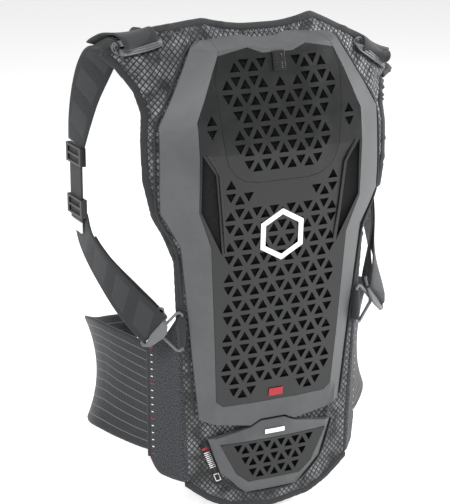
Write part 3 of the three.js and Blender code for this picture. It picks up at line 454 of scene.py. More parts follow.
# %% Finish: moulded plastics and inks
def moulded(name, dark, light, rough, grain, grain_depth, ior=1.49):
    """grain is the spacing and grain_depth the height of the mould's texture, in metres."""
    material, tree, shader = finish_of(name, rough, IOR=ior)
    place = add(tree, "ShaderNodeTexCoord").outputs["Object"]
    cloud = add(tree, "ShaderNodeTexNoise", {"Vector": place, "Scale": 28, "Detail": 5,
                                             "Roughness": 0.62}).outputs[0]
    spark = add(tree, "ShaderNodeTexNoise", {"Vector": place, "Scale": 1 / grain,
                                             "Detail": 2}).outputs[0]
    both = add(tree, "ShaderNodeMath", {0: spark, 1: 0.5, 2: cloud}, operation="MULTIPLY_ADD").outputs[0]
    share = add(tree, "ShaderNodeMapRange", {0: both, 1: 0.5, 2: 1.0}).outputs[0]
    tree.links.new(mix_colours(tree, share, dark, light), shader.inputs["Base Color"])
    worn = add(tree, "ShaderNodeMapRange", {0: cloud, 1: 0.3, 2: 0.7, 3: rough - 0.06,
                                            4: rough + 0.08}).outputs[0]
    tree.links.new(worn, shader.inputs["Roughness"])
    relief = add(tree, "ShaderNodeBump", {"Height": spark, "Distance": grain_depth, "Strength": 0.5})
    tree.links.new(relief.outputs[0], shader.inputs["Normal"])
    return material


FINISH["grey_shell"] = moulded("moulded_polypropylene_grey", "#424345", "#515355", 0.5, 0.0008, 0.00015)
FINISH["black_shell"] = moulded("moulded_polypropylene_black", "#101112", "#18191a", 0.33, 0.0008, 0.0001)
FINISH["grey_hardware"] = moulded("acetal_grey", "#57595c", "#686a6d", 0.36, 0.0012, 0.00005)
FINISH["black_hardware"] = moulded("acetal_black", "#161718", "#202123", 0.3, 0.0012, 0.00005)
FINISH["white_print"] = moulded("satin_ink_white", "#e6e6e4", "#f6f6f4", 0.45, 0.0006, 0.00003)
FINISH["red_print"] = moulded("satin_ink_red", "#94121b", "#ac1d27", 0.45, 0.0006, 0.00003)
print("made", len(FINISH), "finishes")

# %% [markdown]
# ## Handing pieces to the frame
# A finished piece gets its finish, the body it moves with, and the CAD nodes it stands for.

# %% Dress a piece
def dress(piece, finish, body=None, nodes=()):
    piece.data.materials.clear()
    piece.data.materials.append(FINISH[finish])
    if body:
        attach(piece, body)
    if nodes:
        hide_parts(*nodes)
    return piece


def baked(piece):
    """Turns a piece and its modifiers into a plain mesh."""
    graph = bpy.context.evaluated_depsgraph_get()
    mesh = bpy.data.meshes.new_from_object(piece.evaluated_get(graph))
    piece.modifiers.clear()
    piece.data = mesh
    return piece


# %% [markdown]
# ## Moulded pieces
# The plates are already right in the frame, but a mould never gives a sharp edge. A copy of each is
# merged, its flat faces joined, and its edges rounded by a few tenths of a millimetre, which is what
# makes them catch the light. The frame's own node stays behind for the physics.

# %% Rounded copies of the hard pieces
SHARP = 38      # degrees past which a fold stays an edge


def welded(node, name, flat=0.6):
    """A merged copy of a CAD node. Faces within flat degrees of each other become one."""
    shape = bmesh.new()
    shape.from_mesh(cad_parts[node].data)
    bmesh.ops.remove_doubles(shape, verts=shape.verts, dist=1e-5)
    if flat:
        bmesh.ops.dissolve_limit(shape, angle_limit=math.radians(flat), verts=shape.verts,
                                 edges=shape.edges)
    mesh = bpy.data.meshes.new(name)
    shape.to_mesh(mesh)
    shape.free()
    piece = bpy.data.objects.new(name, mesh)
    bpy.context.collection.objects.link(piece)
    return piece


def eased(node, radius, finish, body, limit=30, segments=2):
    """A rounded copy of a hard CAD node."""
    piece = welded(node, f"{node}_moulded")
    rounding = piece.modifiers.new("edge", "BEVEL")
    rounding.width = radius
    rounding.segments = segments
    rounding.limit_method = "ANGLE"
    rounding.angle_limit = math.radians(limit)
    rounding.use_clamp_overlap = True
    baked(piece)
    for polygon in piece.data.polygons:
        polygon.use_smooth = True
    piece.data.set_sharp_from_angle(angle=math.radians(SHARP))
    even = piece.modifiers.new("even", "WEIGHTED_NORMAL")
    even.keep_sharp = True
    baked(piece)
    return dress(piece, finish, body, [node])


PLATES = [
    ("guard_shell", 0.0012, "grey_shell", "carrier"), ("insert_rim", 0.0008, "grey_shell", "carrier"),
    ("main_grille", 0.0009, "black_shell", "carrier"), ("insert_grille", 0.0009, "black_shell", "carrier"),
    ("insert_tab", 0.0005, "black_shell", "carrier"), ("emblem", 0.0004, "white_print", "carrier"),
    ("red_badge", 0.0003, "red_print", "carrier"), ("tail_shell", 0.0012, "grey_shell", "tail"),
    ("tail_grille", 0.0009, "black_shell", "tail"), ("tail_badge", 0.0003, "white_print", "tail"),
]
for side in SIDES:
    PLATES += [
        (f"slot_fin_{side}", 0.0005, "black_shell", "carrier"),
        (f"strap_hook_{side}", 0.0009, "grey_hardware", f"hook_{side}"),
        (f"side_ring_{side}", 0.001, "grey_hardware", f"ring_{side}"),
        (f"buckle_upper_{side}", 0.0007, "black_hardware", f"strap_{side}"),
        (f"buckle_lower_{side}", 0.0007, "black_hardware", f"adjuster_{side}"),
        (f"webbing_tab_{side}", 0.0004, "white_print", f"strap_{side}"),
    ]
for node, radius, finish, body in PLATES:
    piece = eased(node, radius, finish, body)
    print(node, len(piece.data.polygons), "faces")

# %% [markdown]
# The tab on the insert carries a small moulded badge. A plain hexagon and four bars stand in for it,
# each standing 0.4 mm proud. They are lofts laid on the tab, which is measured first.

# %% Raised marks on the insert's tab
tab_low, tab_high = (Vector(v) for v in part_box("insert_tab"))
tab_rays, tab_top = faces_of("insert_tab"), tab_high.z - 0.006
BEAD, BEAD_HALF, BEAD_RISE = circle(6), 0.0005, Vector((0, 0.0004, 0))
HEXAGON, BAR_PITCH = 0.0038, 0.0017


def on_tab(x, z):
    return Vector((x, depth(tab_rays, x, z) or tab_low.y, z))


ring = [(on_tab(a * HEXAGON, tab_top + b * HEXAGON), Vector((a, 0, b)) * BEAD_HALF, BEAD_RISE)
        for b, a in circle(6)]
dress(loft("tab_hexagon", ring, BEAD, closed=True), "black_shell", "carrier")
for n in range(4):
    z = tab_top - 0.0062 - BAR_PITCH * n
    bar = [(on_tab(x / 1000, z), Vector((0, 0, BEAD_HALF)), BEAD_RISE) for x in (-4, -1.5, 1.5, 4)]
    dress(loft(f"tab_bar_{n}", bar, BEAD), "black_shell", "carrier")
print("tab", [round(v * 1000, 1) for v in tab_high - tab_low], "mm")

# %% [markdown]
# ## The carrier's quilted cloth
# The carrier is one padded panel that bends at the waist, where the tail plate flexes. Its outline is
# measured on the frame row by row, then the cloth is let loose: it is made 6% too big and pinned
# where it is sewn, so the simulation buckles it into the small folds that real quilting has. The left
# half is measured and mirrored, and then the right shoulder is let down, as it hangs unworn.

# %% Measure the outline and lay a grid of cloth
ROWS, COLUMNS = 150, 76
HEM_CORNER, SHOULDER_CORNER = -0.1085, 0.371
DROOP_LOW, DROOP_TOP, DROOP_SLOPE = at(0, 0, 425).z, at(0, 0, 523).z, 45 / 112


def droop(x, z):
    """How far the right shoulder has slid down."""
    return max(0, x - 0.06) * DROOP_SLOPE * min(1, max(0, (z - DROOP_LOW) / (DROOP_TOP - DROOP_LOW)))


def cloth_depth(x, z):
    """The cloth's front, with the nearest face where a ray only grazes its edge."""
    y = depth(cloth_rays, x, z)
    if y is None:
        y = depth(cloth_rays, x * 0.985, z - 0.003 * (1 if z > 0 else -1))
    if y is None:
        y = cloth_rays.find_nearest(Vector((x, 0.02 if z < 0.3 else 0.04, z)))[0].y - 0.001
    return y


row_heights = [HEM_CORNER + (SHOULDER_CORNER - HEM_CORNER) * i / (ROWS - 1) for i in range(ROWS)]
halves = [half_width(cloth_rays, z, way=-1) for z in row_heights]
corner, hem_half = halves[-1], halves[0]
shares = [-1 + 2 * j / (COLUMNS - 1) for j in range(COLUMNS)]
tops = [top_edge(cloth_rays, -abs(s) * corner * 0.997) - SHOULDER_CORNER for s in shares]
for n in range(1, COLUMNS - 1):
    tops[n] = max(tops[n], (tops[n - 1] + tops[n + 1]) / 2)
tops = [top - 0.005 * smooth(abs(s) * corner, 0.115, 0.145) * (1 - smooth(abs(s), 0.93, 1))
        for s, top in zip(shares, tops)]
hems = [top_edge(cloth_rays, -abs(s) * hem_half * 0.997, way=-1) - HEM_CORNER for s in shares]
cloth = []
for z0, half in zip(row_heights, halves):
    rise = smooth(z0, at(0, 0, 440).z, SHOULDER_CORNER)
    fall = 1 - smooth(z0, HEM_CORNER, at(0, 0, 100).z)
    line = []
    for s, top, hem in zip(shares, tops, hems):
        z = z0 + top * rise + hem * fall
        x = s * half
        z -= droop(x, z)
        line.append(Vector((x, cloth_depth(x, z), z)))
    cloth.append(line)
for _ in range(6):      # even the depths, where a ray has met an edge
    old = [[p.y for p in line] for line in cloth]
    for i in range(ROWS):
        for j in range(COLUMNS):
            near = [old[i][k] for k in (j - 1, j + 1) if 0 <= k < COLUMNS]
            near += [old[k][j] for k in (i - 1, i + 1) if 0 <= k < ROWS]
            level = sum(near) / len(near) if len(near) == 4 else old[i][j]
            cloth[i][j].y = (old[i][j] + level) / 2
print("cloth grid", ROWS, "x", COLUMNS, "hem", round(min(p.z for p in cloth[0]), 3))

# %% [markdown]
# The slots for the straps are cut out of the grid. A stadium is a rectangle with round ends, and the
# same test with a wider margin says which threads are held by the slot's ring.

# %% Strap slots, as moulded in the shoulders
SLOT_TILT, SLOT_HALF = math.radians(14.5), 0.0175
SLOT_HOLE, SLOT_SEWN = 0.0062, 0.012      # from the slot's middle line: the opening, the held cloth
SLOTS = {}
for side in SIDES:
    low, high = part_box(f"strap_slot_{side}")
    SLOTS[side] = (Vector(low) + Vector(high)) / 2 + Vector((0, 0, 0.0025))


def slot_frame(side, u, v):
    """A point of the slot's own plan: u outwards along it, v up across it."""
    centre, way = SLOTS[side], SIDES[side]
    x = centre.x + way * (u * math.cos(SLOT_TILT) + v * math.sin(SLOT_TILT))
    z = centre.z - u * math.sin(SLOT_TILT) + v * math.cos(SLOT_TILT)
    if way > 0:
        z -= DROOP_SLOPE * (x - centre.x)
    return x, z


def slot_distance(x, z, side):
    """How far a point is from the slot's middle line."""
    centre, way = SLOTS[side], SIDES[side]
    dx, dz = way * (x - centre.x), z - centre.z
    if way > 0:
        dz += DROOP_SLOPE * dx
    u = dx * math.cos(SLOT_TILT) - dz * math.sin(SLOT_TILT)
    v = dx * math.sin(SLOT_TILT) + dz * math.cos(SLOT_TILT)
    return math.hypot(max(0, abs(u) - SLOT_HALF), v)


print("slots at", {k: tuple(round(c, 3) for c in v) for k, v in SLOTS.items()})

# %% Let the cloth loose, then give it its padding
guard_rays, tail_rays = faces_of("guard_shell"), faces_of("tail_shell")


def held(i, j):
    """1 where the cloth is sewn or covered, 0 where it is free."""
    p = cloth[i][j]
    edge = min(i, j, ROWS - 1 - i, COLUMNS - 1 - j)
    if edge < 2 or min(slot_distance(p.x, p.z, s) for s in SIDES) < SLOT_SEWN:
        return 1
    covered = any(depth(rays, p.x + a, p.z + b) is not None for rays in (guard_rays, tail_rays)
                  for a, b in ((0, 0), (0.004, 0), (-0.004, 0), (0, 0.004)))
    return 1 if covered else 0


pins = [held(i, j) for i in range(ROWS) for j in range(COLUMNS)]
grid_faces = []
for i in range(ROWS - 1):
    for j in range(COLUMNS - 1):
        mid = (cloth[i][j] + cloth[i + 1][j + 1]) / 2
        if min(slot_distance(mid.x, mid.z, s) for s in SIDES) > SLOT_HOLE:
            a = i * COLUMNS + j
            grid_faces.append((a, a + 1, a + COLUMNS + 1, a + COLUMNS))
flat = [p for line in cloth for p in line]
rest_places = [Vector(p) for p in flat]


FRAMES = 20


def run_cloth(piece, stretch, **settings):
    """Runs a piece as weightless cloth under pressure, and returns where its points went."""
    cloth_run = piece.modifiers.new("cloth", "CLOTH")
    chosen = cloth_run.settings
    for name, value in settings.items():
        setattr(chosen, name, value)
    chosen.tension_stiffness = chosen.compression_stiffness = stretch
    chosen.effector_weights.gravity = 0
    chosen.use_pressure = True
    cloth_run.collision_settings.use_collision = False
    cloth_run.point_cache.frame_start, cloth_run.point_cache.frame_end = 1, FRAMES
    for number in range(1, FRAMES + 1):
        bpy.context.scene.frame_set(number)
    graph = bpy.context.evaluated_depsgraph_get()
    moved = [v.co.copy() for v in piece.evaluated_get(graph).data.vertices]
    piece.modifiers.clear()
    bpy.context.scene.frame_set(1)
    return moved


def loosened(points):
    """Lets the sewn grid buckle, and returns where its points went."""
    mesh = bpy.data.meshes.new("loose")
    mesh.from_pydata([tuple(p) for p in points], [], grid_faces)
    piece = bpy.data.objects.new("loose", mesh)
    bpy.context.collection.objects.link(piece)
    group = piece.vertex_groups.new(name="sewn")
    for index, pin in enumerate(pins):
        group.add([index], float(pin), "REPLACE")
    moved = run_cloth(piece, 18, quality=6, mass=0.15, bending_stiffness=0.08, shrink_min=-0.06,
                      vertex_group_mass="sewn", uniform_pressure_force=0.6)
    bpy.data.objects.remove(piece)
    return moved


FOLD, SINK = 0.0032, 0.0008      # the tallest fold, and how far one may sink towards the back
moved = loosened(flat)
for index, (start, end) in enumerate(zip(rest_places, moved)):
    shift = end - start
    if shift.length > FOLD:
        shift *= FOLD / shift.length
    shift.y = min(shift.y, SINK)
    flat[index] = start + shift * (1 - pins[index])
print("largest fold", round(max((a - b).length for a, b in zip(flat, rest_places)) * 1000, 1), "mm")

used = sorted({k for face in grid_faces for k in face})
rank = {k: n for n, k in enumerate(used)}
carrier = make_object("quilted_carrier", [flat[k] for k in used],
                      [tuple(rank[k] for k in face) for face in grid_faces],
                      [(rest_places[k].x, rest_places[k].z) for k in used])
if sum(p.normal.y for p in carrier.data.polygons) > 0:
    carrier.data.flip_normals()
padding = carrier.modifiers.new("padding", "SOLIDIFY")
padding.thickness = 0.0036
padding.offset = -1
padding.use_even_offset = True
rounding = carrier.modifiers.new("softer", "SUBSURF")
rounding.levels = rounding.render_levels = 1
baked(carrier)
for polygon in carrier.data.polygons:
    polygon.use_smooth = True
dress(carrier, "mesh_fabric", nodes=["back_panel", "tail_panel"])
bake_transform(carrier)
print("carrier", len(carrier.data.polygons), "faces")

# %% [markdown]
# ## Bindings, piping and stitches
# Folded elastic tape closes every raw edge. It is one tube with a soft D-shaped section, carried along
# the cloth's own edge. A thin piping is sewn round the guard, where the cover ends.

# %% Tape along the edges
def out_of_cloth(i, j):
    """The direction out of the cloth's front at a grid point."""
    a = cloth[min(ROWS - 1, i + 1)][j] - cloth[max(0, i - 1)][j]
    b = cloth[i][min(COLUMNS - 1, j + 1)] - cloth[i][max(0, j - 1)]
    normal = a.cross(b).normalized()
    return normal if normal.y < 0 else -normal


def taped(name, cells, body, nodes, wide=0.0085, thick=0.0062):
    """A tape that wraps the cloth's edge. cells are grid places along the edge."""
    points = [cloth[i][j] for i, j in cells]
    stations = []
    for n, (i, j) in enumerate(cells):
        run = (points[min(len(points) - 1, n + 1)] - points[max(0, n - 1)]).normalized()
        normal = out_of_cloth(i, j)
        across = run.cross(normal).normalized()
        middle = points[n] - normal * 0.0018
        inner = cloth[min(ROWS - 3, max(2, i))][min(COLUMNS - 3, max(2, j))]
        if across.dot(inner - points[n]) < 0:
            across = -across
        stations.append((middle + across * wide * 0.1, across * wide / 2, normal * thick / 2))
    ring = []
    for k in range(14):
        angle = 2 * math.pi * k / 14
        a, b = math.cos(angle), math.sin(angle)
        ring.append((math.copysign(abs(a) ** 0.75, a), math.copysign(abs(b) ** 0.6, b)))
    piece = loft(name, stations, ring)
    return dress(piece, "binding_tape", body, nodes)


LAST_ROW, LAST_COLUMN = ROWS - 1, COLUMNS - 1
BELT_ROW = next(i for i, z in enumerate(row_heights) if z > at(0, 0, 203).z)
FLEX_ROW = next(i for i, z in enumerate(row_heights) if z > at(0, 0, 44).z)
armhole = range(BELT_ROW, ROWS)
taped("armhole_tape_left", [(i, 0) for i in armhole], "carrier", nodes=["armhole_binding_left"])
taped("armhole_tape_right", [(i, LAST_COLUMN) for i in armhole], "carrier", nodes=["armhole_binding_right"])
taped("neck_tape", [(LAST_ROW, j) for j in range(COLUMNS)], "carrier", nodes=["neck_binding"])
hem_cells = [(i, 0) for i in range(FLEX_ROW, 0, -1)] + [(0, j) for j in range(COLUMNS)]
hem_cells += [(i, LAST_COLUMN) for i in range(1, FLEX_ROW + 1)]
taped("hem_tape", hem_cells, "tail", nodes=["hem_binding"])
print("tapes done")

# %% [markdown]
# The piping follows the guard's outline, 4 mm outside it, and lies on the cloth. Rays on the plate's
# right side measure how wide it is from its foot to its shoulder, the left side mirrors that, and the
# crest is measured from above. The tail plate's piping is made the same way, from below.

# %% Piping round the guard and the tail plate
PIPING, PIPING_GAP, LIFT = 0.0016, 0.004, 0.0002


def flanks_of(rays, low, high, count):
    """Points beside the plate from its foot up, on its left and on its right."""
    left, right = [], []
    for k in range(count + 1):
        z = low + (high - low) * k / count
        x = half_width(rays, min(z, high - 0.001), start=0.15)
        left.append((-x - PIPING_GAP, z))
        right.append((x + PIPING_GAP, z))
    return left, right


def piped(name, plan, body):
    """A thin tube lying on the cloth along a plan of (x, z) points."""
    points = [Vector((x, cloth_depth(x, z) - PIPING * 0.5 - LIFT, z)) for x, z in plan]
    for _ in range(3):
        eased_run = [(a + b * 2 + c) / 4 for a, b, c in zip(points, points[1:], points[2:])]
        points = [points[0], *eased_run, points[-1]]
    stations = []
    for n, point in enumerate(points):
        run = (points[min(len(points) - 1, n + 1)] - points[max(0, n - 1)]).normalized()
        across = run.cross(Vector((0, -1, 0))).normalized()
        stations.append((point, across * PIPING, across.cross(run).normalized() * PIPING))
    return dress(loft(name, stations, circle(8)), "binding_tape", body)


left, right = flanks_of(guard_rays, at(0, 0, 122).z, at(0, 0, 529).z, 70)
crest = [(x / 1000, top_edge(guard_rays, x / 1000) + PIPING_GAP) for x in range(-78, 79, 6)]
guard_line = left + crest + right[::-1]
piped("guard_piping", guard_line, "carrier")
left, right = flanks_of(tail_rays, at(0, 0, 24).z, at(0, 0, 92).z, 16)
base = [(x / 1000, top_edge(tail_rays, x / 1000, way=-1) - 0.0035) for x in range(-28, 29, 7)]
tail_line = left[::-1] + base + right
piped("tail_piping", tail_line, "tail")
print("piping of", len(guard_line), "and", len(tail_line), "points")

# %% [markdown]
# **Stitches.** A running stitch is one short thread, repeated. Geometry Nodes does this well: the
# seam's line becomes a curve, is cut to the stitch's pitch, and each point gets one thread turned
# along the seam. The tree has named inputs, so the same one sews the tapes' seams on both bodies.

# %% A sewing machine in Geometry Nodes
def sewing_tree():
    tree = bpy.data.node_groups.new("running_stitch", "GeometryNodeTree")
    for name, kind in (("Seam", "NodeSocketGeometry"), ("Pitch", "NodeSocketFloat"),
                       ("Length", "NodeSocketFloat"), ("Thread", "NodeSocketFloat"),
                       ("Finish", "NodeSocketMaterial")):
        tree.interface.new_socket(name, in_out="INPUT", socket_type=kind)
    tree.interface.new_socket("Stitches", in_out="OUTPUT", socket_type="NodeSocketGeometry")
    given = tree.nodes.new("NodeGroupInput").outputs
    line = add(tree, "GeometryNodeMeshToCurve", {0: given["Seam"]}).outputs[0]
    dots = add(tree, "GeometryNodeResampleCurve", {"Curve": line, "Length": given["Pitch"]},
               mode="LENGTH").outputs[0]
    thread = add(tree, "GeometryNodeMeshCylinder",
                 {"Vertices": 6, "Side Segments": 1, "Radius": given["Thread"], "Depth": given["Length"]},
                 fill_type="TRIANGLE_FAN").outputs[0]
    tangent = add(tree, "GeometryNodeInputTangent").outputs[0]
    turn = add(tree, "FunctionNodeAlignRotationToVector", {"Vector": tangent}, axis="Z").outputs[0]
    sewn = add(tree, "GeometryNodeInstanceOnPoints",
               {"Points": dots, "Instance": thread, "Rotation": turn}).outputs[0]
    real = add(tree, "GeometryNodeRealizeInstances", {0: sewn}).outputs[0]
    dyed = add(tree, "GeometryNodeSetMaterial", {"Geometry": real, "Material": given["Finish"]}).outputs[0]
    out = tree.nodes.new("NodeGroupOutput")
    tree.links.new(dyed, out.inputs[0])
    return tree


SEWING = sewing_tree()


def sewn_seam(name, runs, body, pitch=0.0036, length=0.0026, thread=0.00035, finish="thread"):
    """Stitches along runs of points, as one plain mesh."""
    vertices, edges = [], []
    for run in runs:
        first = len(vertices)
        vertices += [tuple(p) for p in run]
        edges += [(first + k, first + k + 1) for k in range(len(run) - 1)]
    mesh = bpy.data.meshes.new(name)
    mesh.from_pydata(vertices, edges, [])
    piece = bpy.data.objects.new(name, mesh)
    bpy.context.collection.objects.link(piece)
    machine = piece.modifiers.new("sewing", "NODES")
    machine.node_group = SEWING
    ids = {s.name: s.identifier for s in SEWING.interface.items_tree if s.in_out == "INPUT"}
    machine[ids["Pitch"]], machine[ids["Length"]] = pitch, length
    machine[ids["Thread"]], machine[ids["Finish"]] = thread, FINISH[finish]
    baked(piece)
    return dress(piece, finish, body)


FINISH["thread"] = speckled("polyester_thread", "#3f4144", "#6b6d70", 1500, 0.0001, rough=0.6)


def beside_edge(cells, step):
    """Points on the cloth a few cells inside the edge."""
    run = []
    for i, j in cells:
        i2 = min(LAST_ROW - step, max(step, i))
        j2 = min(LAST_COLUMN - step, max(step, j))
        run.append(cloth[i2][j2] + out_of_cloth(i2, j2) * 0.0004)
    return run


seams = [beside_edge(cells, 2) for cells in ([(i, 0) for i in armhole],
                                             [(i, LAST_COLUMN) for i in armhole],
                                             [(LAST_ROW, j) for j in range(2, LAST_COLUMN - 1)])]
carrier_seams = sewn_seam("carrier_stitches", seams, "carrier")
sewn_seam("hem_stitches", [beside_edge([(0, j) for j in range(3, LAST_COLUMN - 2)], 2)], "tail")
print("carrier stitches", len(carrier_seams.data.polygons), "faces")

# %% [markdown]
# ## Slot rings
# Each strap runs through an oval moulding with three concentric ribs. One loft goes round the oval.
# Its section has the ribs in it. The cloth's depth is read 3 to 4 mm outside the oval and evened out
# along it, so the ring follows the curved shoulder without its small folds.

# %% Ribbed oval rings
RING_STRAIGHT, RING_ROUND = 0.0165, 0.0048


def slot_ring(side):
    """The ring's section is in millimetres: across, and out of the cloth where it is negative."""
    section = [(-3.6, 2.2), (-3.6, -0.9)]
    for rib in (-2.6, 0, 2.6):
        section += [(rib - 0.9, -1.5), (rib - 0.4, -2.6), (rib + 0.4, -2.6), (rib + 0.9, -1.5)]
    section += [(3.6, -0.9), (3.6, 2.2)]
    stations, steps = [], 64
    for k in range(steps):
        angle = 2 * math.pi * k / steps
        turn = Vector((math.cos(angle), math.sin(angle)))
        u = RING_STRAIGHT * max(-1, min(1, turn.x * 3)) + RING_ROUND * turn.x
        v = RING_ROUND * turn.y
        x, z = slot_frame(side, u, v)
        x2, z2 = slot_frame(side, u + turn.x * 0.003, v + turn.y * 0.0042)
        stations.append((Vector((x, cloth_depth(x2, z2) - 0.0006, z)),
                         Vector((x2 - x, 0, z2 - z)).normalized() * 0.001, Vector((0, 0.001, 0))))
    for _ in range(8):
        levels = [s[0].y for s in stations]
        for k in range(steps):
            stations[k][0].y = (levels[k - 1] + 2 * levels[k] + levels[(k + 1) % steps]) / 4
    ring = loft(f"ribbed_ring_{side}", stations, section, closed=True)
    return dress(ring, "grey_hardware", "carrier", [f"strap_slot_{side}"])


for side in SIDES:
    slot_ring(side)
print("slot rings done")

# %% [markdown]
# ## Shoulder straps
# Wide elastic comes up through each slot, folds over the shoulder and lies as a free flap. Under the
# flap the same elastic turns down the front to the first buckle. The real elastic is one piece between
# the carrier and the swinging strap, so both lengths are left without a body.

# %% Straps as ribbons through knots
def knot(side, x, y, z, width):
    """A knot drawn on the left side, moved to its side and let down with the right shoulder."""
    point = mirrored(at(x, y, z), side) if side > 0 else at(x, y, z)
    wide = Vector((-side * width[0] if side > 0 else width[0], width[1], width[2]))
    if side > 0:
        share = min(1, max(0, (at(0, 0, z).z - DROOP_LOW) / (DROOP_TOP - DROOP_LOW)))
        wide.z -= abs(wide.x) * DROOP_SLOPE * share
        point.z -= droop(point.x, point.z)
    return point, wide


def strap(name, knots, wide, thick, steps):
    return loft(name, ribbon_stations(knots, wide, steps), rounded_strip(thick))


UPPER = [(-150, 70, 536, (-0.93, 0.3, -0.2)), (-159, 88, 523, (-0.8, 0.45, -0.4)),
         (-165.5, 102, 502, (-0.7, 0.65, -0.28)), (-171, 115, 475, (-0.55, 0.83, -0.05)),
         (-176, 122, 445, (-0.35, 0.93, 0)), (-180, 125, 416, (-0.12, 0.99, 0))]
SLOT_WIDTH = (-0.96, 0.12, -0.25)
FOLD_OVER = [(-138, 46, 533), (-138, 41.5, 533.5), (-138, 38.4, 536), (-138.6, 39, 540.5), (-141, 46, 545),
             (-145.5, 57, 545), (-152, 70, 541), (-158, 82, 534), (-162, 91, 527)]
UNDER = [(-139, 52, 529), (-140, 56, 533), (-143, 62, 538)]
for side, way in SIDES.items():
    over = [knot(way, *place, SLOT_WIDTH if n < 4 else (-0.93, 0.3, -0.1))
            for n, place in enumerate(FOLD_OVER)]
    flap = strap(f"strap_fold_{side}", over, 0.037, 0.0021, 44)
    dress(flap, "strap_webbing", nodes=[f"strap_loop_{side}", f"strap_flap_{side}"])
    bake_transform(flap)
    under = [knot(way, *place, SLOT_WIDTH) for place in UNDER]
    under += [knot(way, *place) for place in UPPER]
    hang = strap(f"strap_elastic_{side}", under, 0.038, 0.0021, 90)
    dress(hang, "strap_webbing", nodes=[f"strap_upper_{side}"])
    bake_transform(hang)
    band = [knot(way, -181, 125, z, (-0.06, 1, 0)) for z in (415, 388, 360, 330.5)]
    webbing = strap(f"strap_webbing_{side}", band, 0.032, 0.0019, 24)
    dress(webbing, "plain_webbing", f"strap_{side}", [f"webbing_{side}"])
print("upper straps done")

# %% [markdown]
# The lower elastic runs down to the hook, turns round the hook's bar and comes back behind itself. It
# spreads over its last half, because the turn is thicker than the two layers are apart higher up.

# %% The lower strap, doubled round the hook's bar
LOWER = [(-177, 124, 333, (-0.06, 1, -0.05)), (-175.5, 112, 309, (-0.12, 0.94, -0.3)),
         (-167.5, 88, 284, (-0.25, 0.78, -0.55)), (-153, 56, 257.5, (-0.42, 0.4, -0.8)),
         (-138.6, 28.2, 236.6, (-0.5, 0.04, -0.86))]
HOOK_BAR = (-135.6, 22.9, 232.2)
WRAP = 0.0047
for side, way in SIDES.items():
    front = ribbon_stations([knot(way, *k) for k in LOWER], 0.038, 60)
    end, across, out = front[-1]
    if out.dot(Vector((way, 0, 0))) < 0:
        front = [(p, -a, -o) for p, a, o in front]
        end, across, out = front[-1]
    bar = mirrored(at(*HOOK_BAR), way)
    along = (bar - end).normalized()
    out = (out - along * out.dot(along)).normalized()
    round_bar = [out * math.cos(math.pi * k / 10) + along * math.sin(math.pi * k / 10) for k in range(11)]
    turn = [(bar + way_out * WRAP, across, way_out) for way_out in round_bar]
    outer, back = [], []
    for n, (p, a, o) in enumerate(front[:-1]):
        spread = WRAP * smooth(n, 30, 59)
        outer.append((p + o * (spread + 0.0002), a, o))
        back.append((p - o * (spread + 0.0022), a, -o))
    lower = loft(f"strap_doubled_{side}", outer + turn + back[:16:-1], rounded_strip(0.002))
    dress(lower, "strap_webbing", f"adjuster_{side}", [f"strap_lower_{side}"])
print("lower straps done")

# %% [markdown]
# **Ring ties.** A short loop of binding holds each side ring's bar to the carrier's edge. It is a
# rolled tube, so it is lofted round the bar with a soft, uneven radius.

# %% Ring ties
RING_BAR, TIE_LONG = (-106.5, 10.65, 226), 34


def ring_tie(side, way):
    x, y, middle = RING_BAR
    stations = []
    for k in range(25):
        z = middle - TIE_LONG / 2 + TIE_LONG * k / 24
        swell = 1 - 0.16 * abs(k / 12 - 1) ** 4 + 0.03 * math.sin(k * 1.7)
        point = mirrored(at(x, y, z), way)
        stations.append((point, Vector((0.0044 * swell, 0, 0)), Vector((0, 0.0040 * swell, 0))))
    tube = loft(f"ring_wrap_{side}", stations, circle(18))
    return dress(tube, "binding_tape", "carrier", [f"ring_tie_{side}"])


for side, way in SIDES.items():
    ring_tie(side, way)
print("ring ties done")

# %% [markdown]
# ## Kidney belt
# Each half is a padded neoprene panel with a ribbed elastic band sewn to it. The cloth keeps about
# the same length everywhere, so both are drawn as slabs over a grid of stations round the waist. The
# band is drawn in at half height and flares at its edges.

# %% Belt panels and bands
PANEL = [(93, 21, 47, 243), (97.7, 19.4, 44, 240), (104, 26, 44, 229), (113, 36, 46, 213),
         (121, 46, 50, 205), (127.4, 54, 66, 202)]
BAND = [(127.9, 54.6, 74, 202), (140, 68, 78, 208), (154, 86, 84, 215), (163, 106, 88, 219),
        (165, 126, 86, 216), (161, 146, 82, 209), (152, 166, 76, 200), (138, 183, 70, 191),
        (120, 198, 65, 186), (102, 200, 62, 185), (84, 200, 62, 186)]
SEAM_LEAN, SEAM_START, FLARE = 7 / 157, 2.35, 13


def wall_point(stations, t, up, flare, seam):
    """A point of a belt wall on the left, t along it and up its height, with its outward normal.
    A station is x, y and the wall's low and high edge, in millimetres on the drawing."""
    place = t * (len(stations) - 1)
    x, y, low, high = (spline([float(s[n]) for s in stations], t) for n in range(4))
    x2, y2 = (spline([float(s[n]) for s in stations], min(1, t + 0.01)) for n in range(2))
    x1, y1 = (spline([float(s[n]) for s in stations], max(0, t - 0.01)) for n in range(2))
    run = Vector((x2 - x1, y2 - y1)).normalized()
    z = low + (high - low) * up
    left = len(stations) - 1 - place
    bow = flare * ((2 * up - 1) ** 2 - 0.5) * min(1, place / 3, max(0, left - 2) / 2)
    if seam:
        x += (SEAM_LEAN * (z - 44) + SEAM_START) * min(1, left / (len(stations) - 2))
    return at(-(x + run.y * bow), y - run.x * bow, z), Vector((-run.y, -run.x, 0))


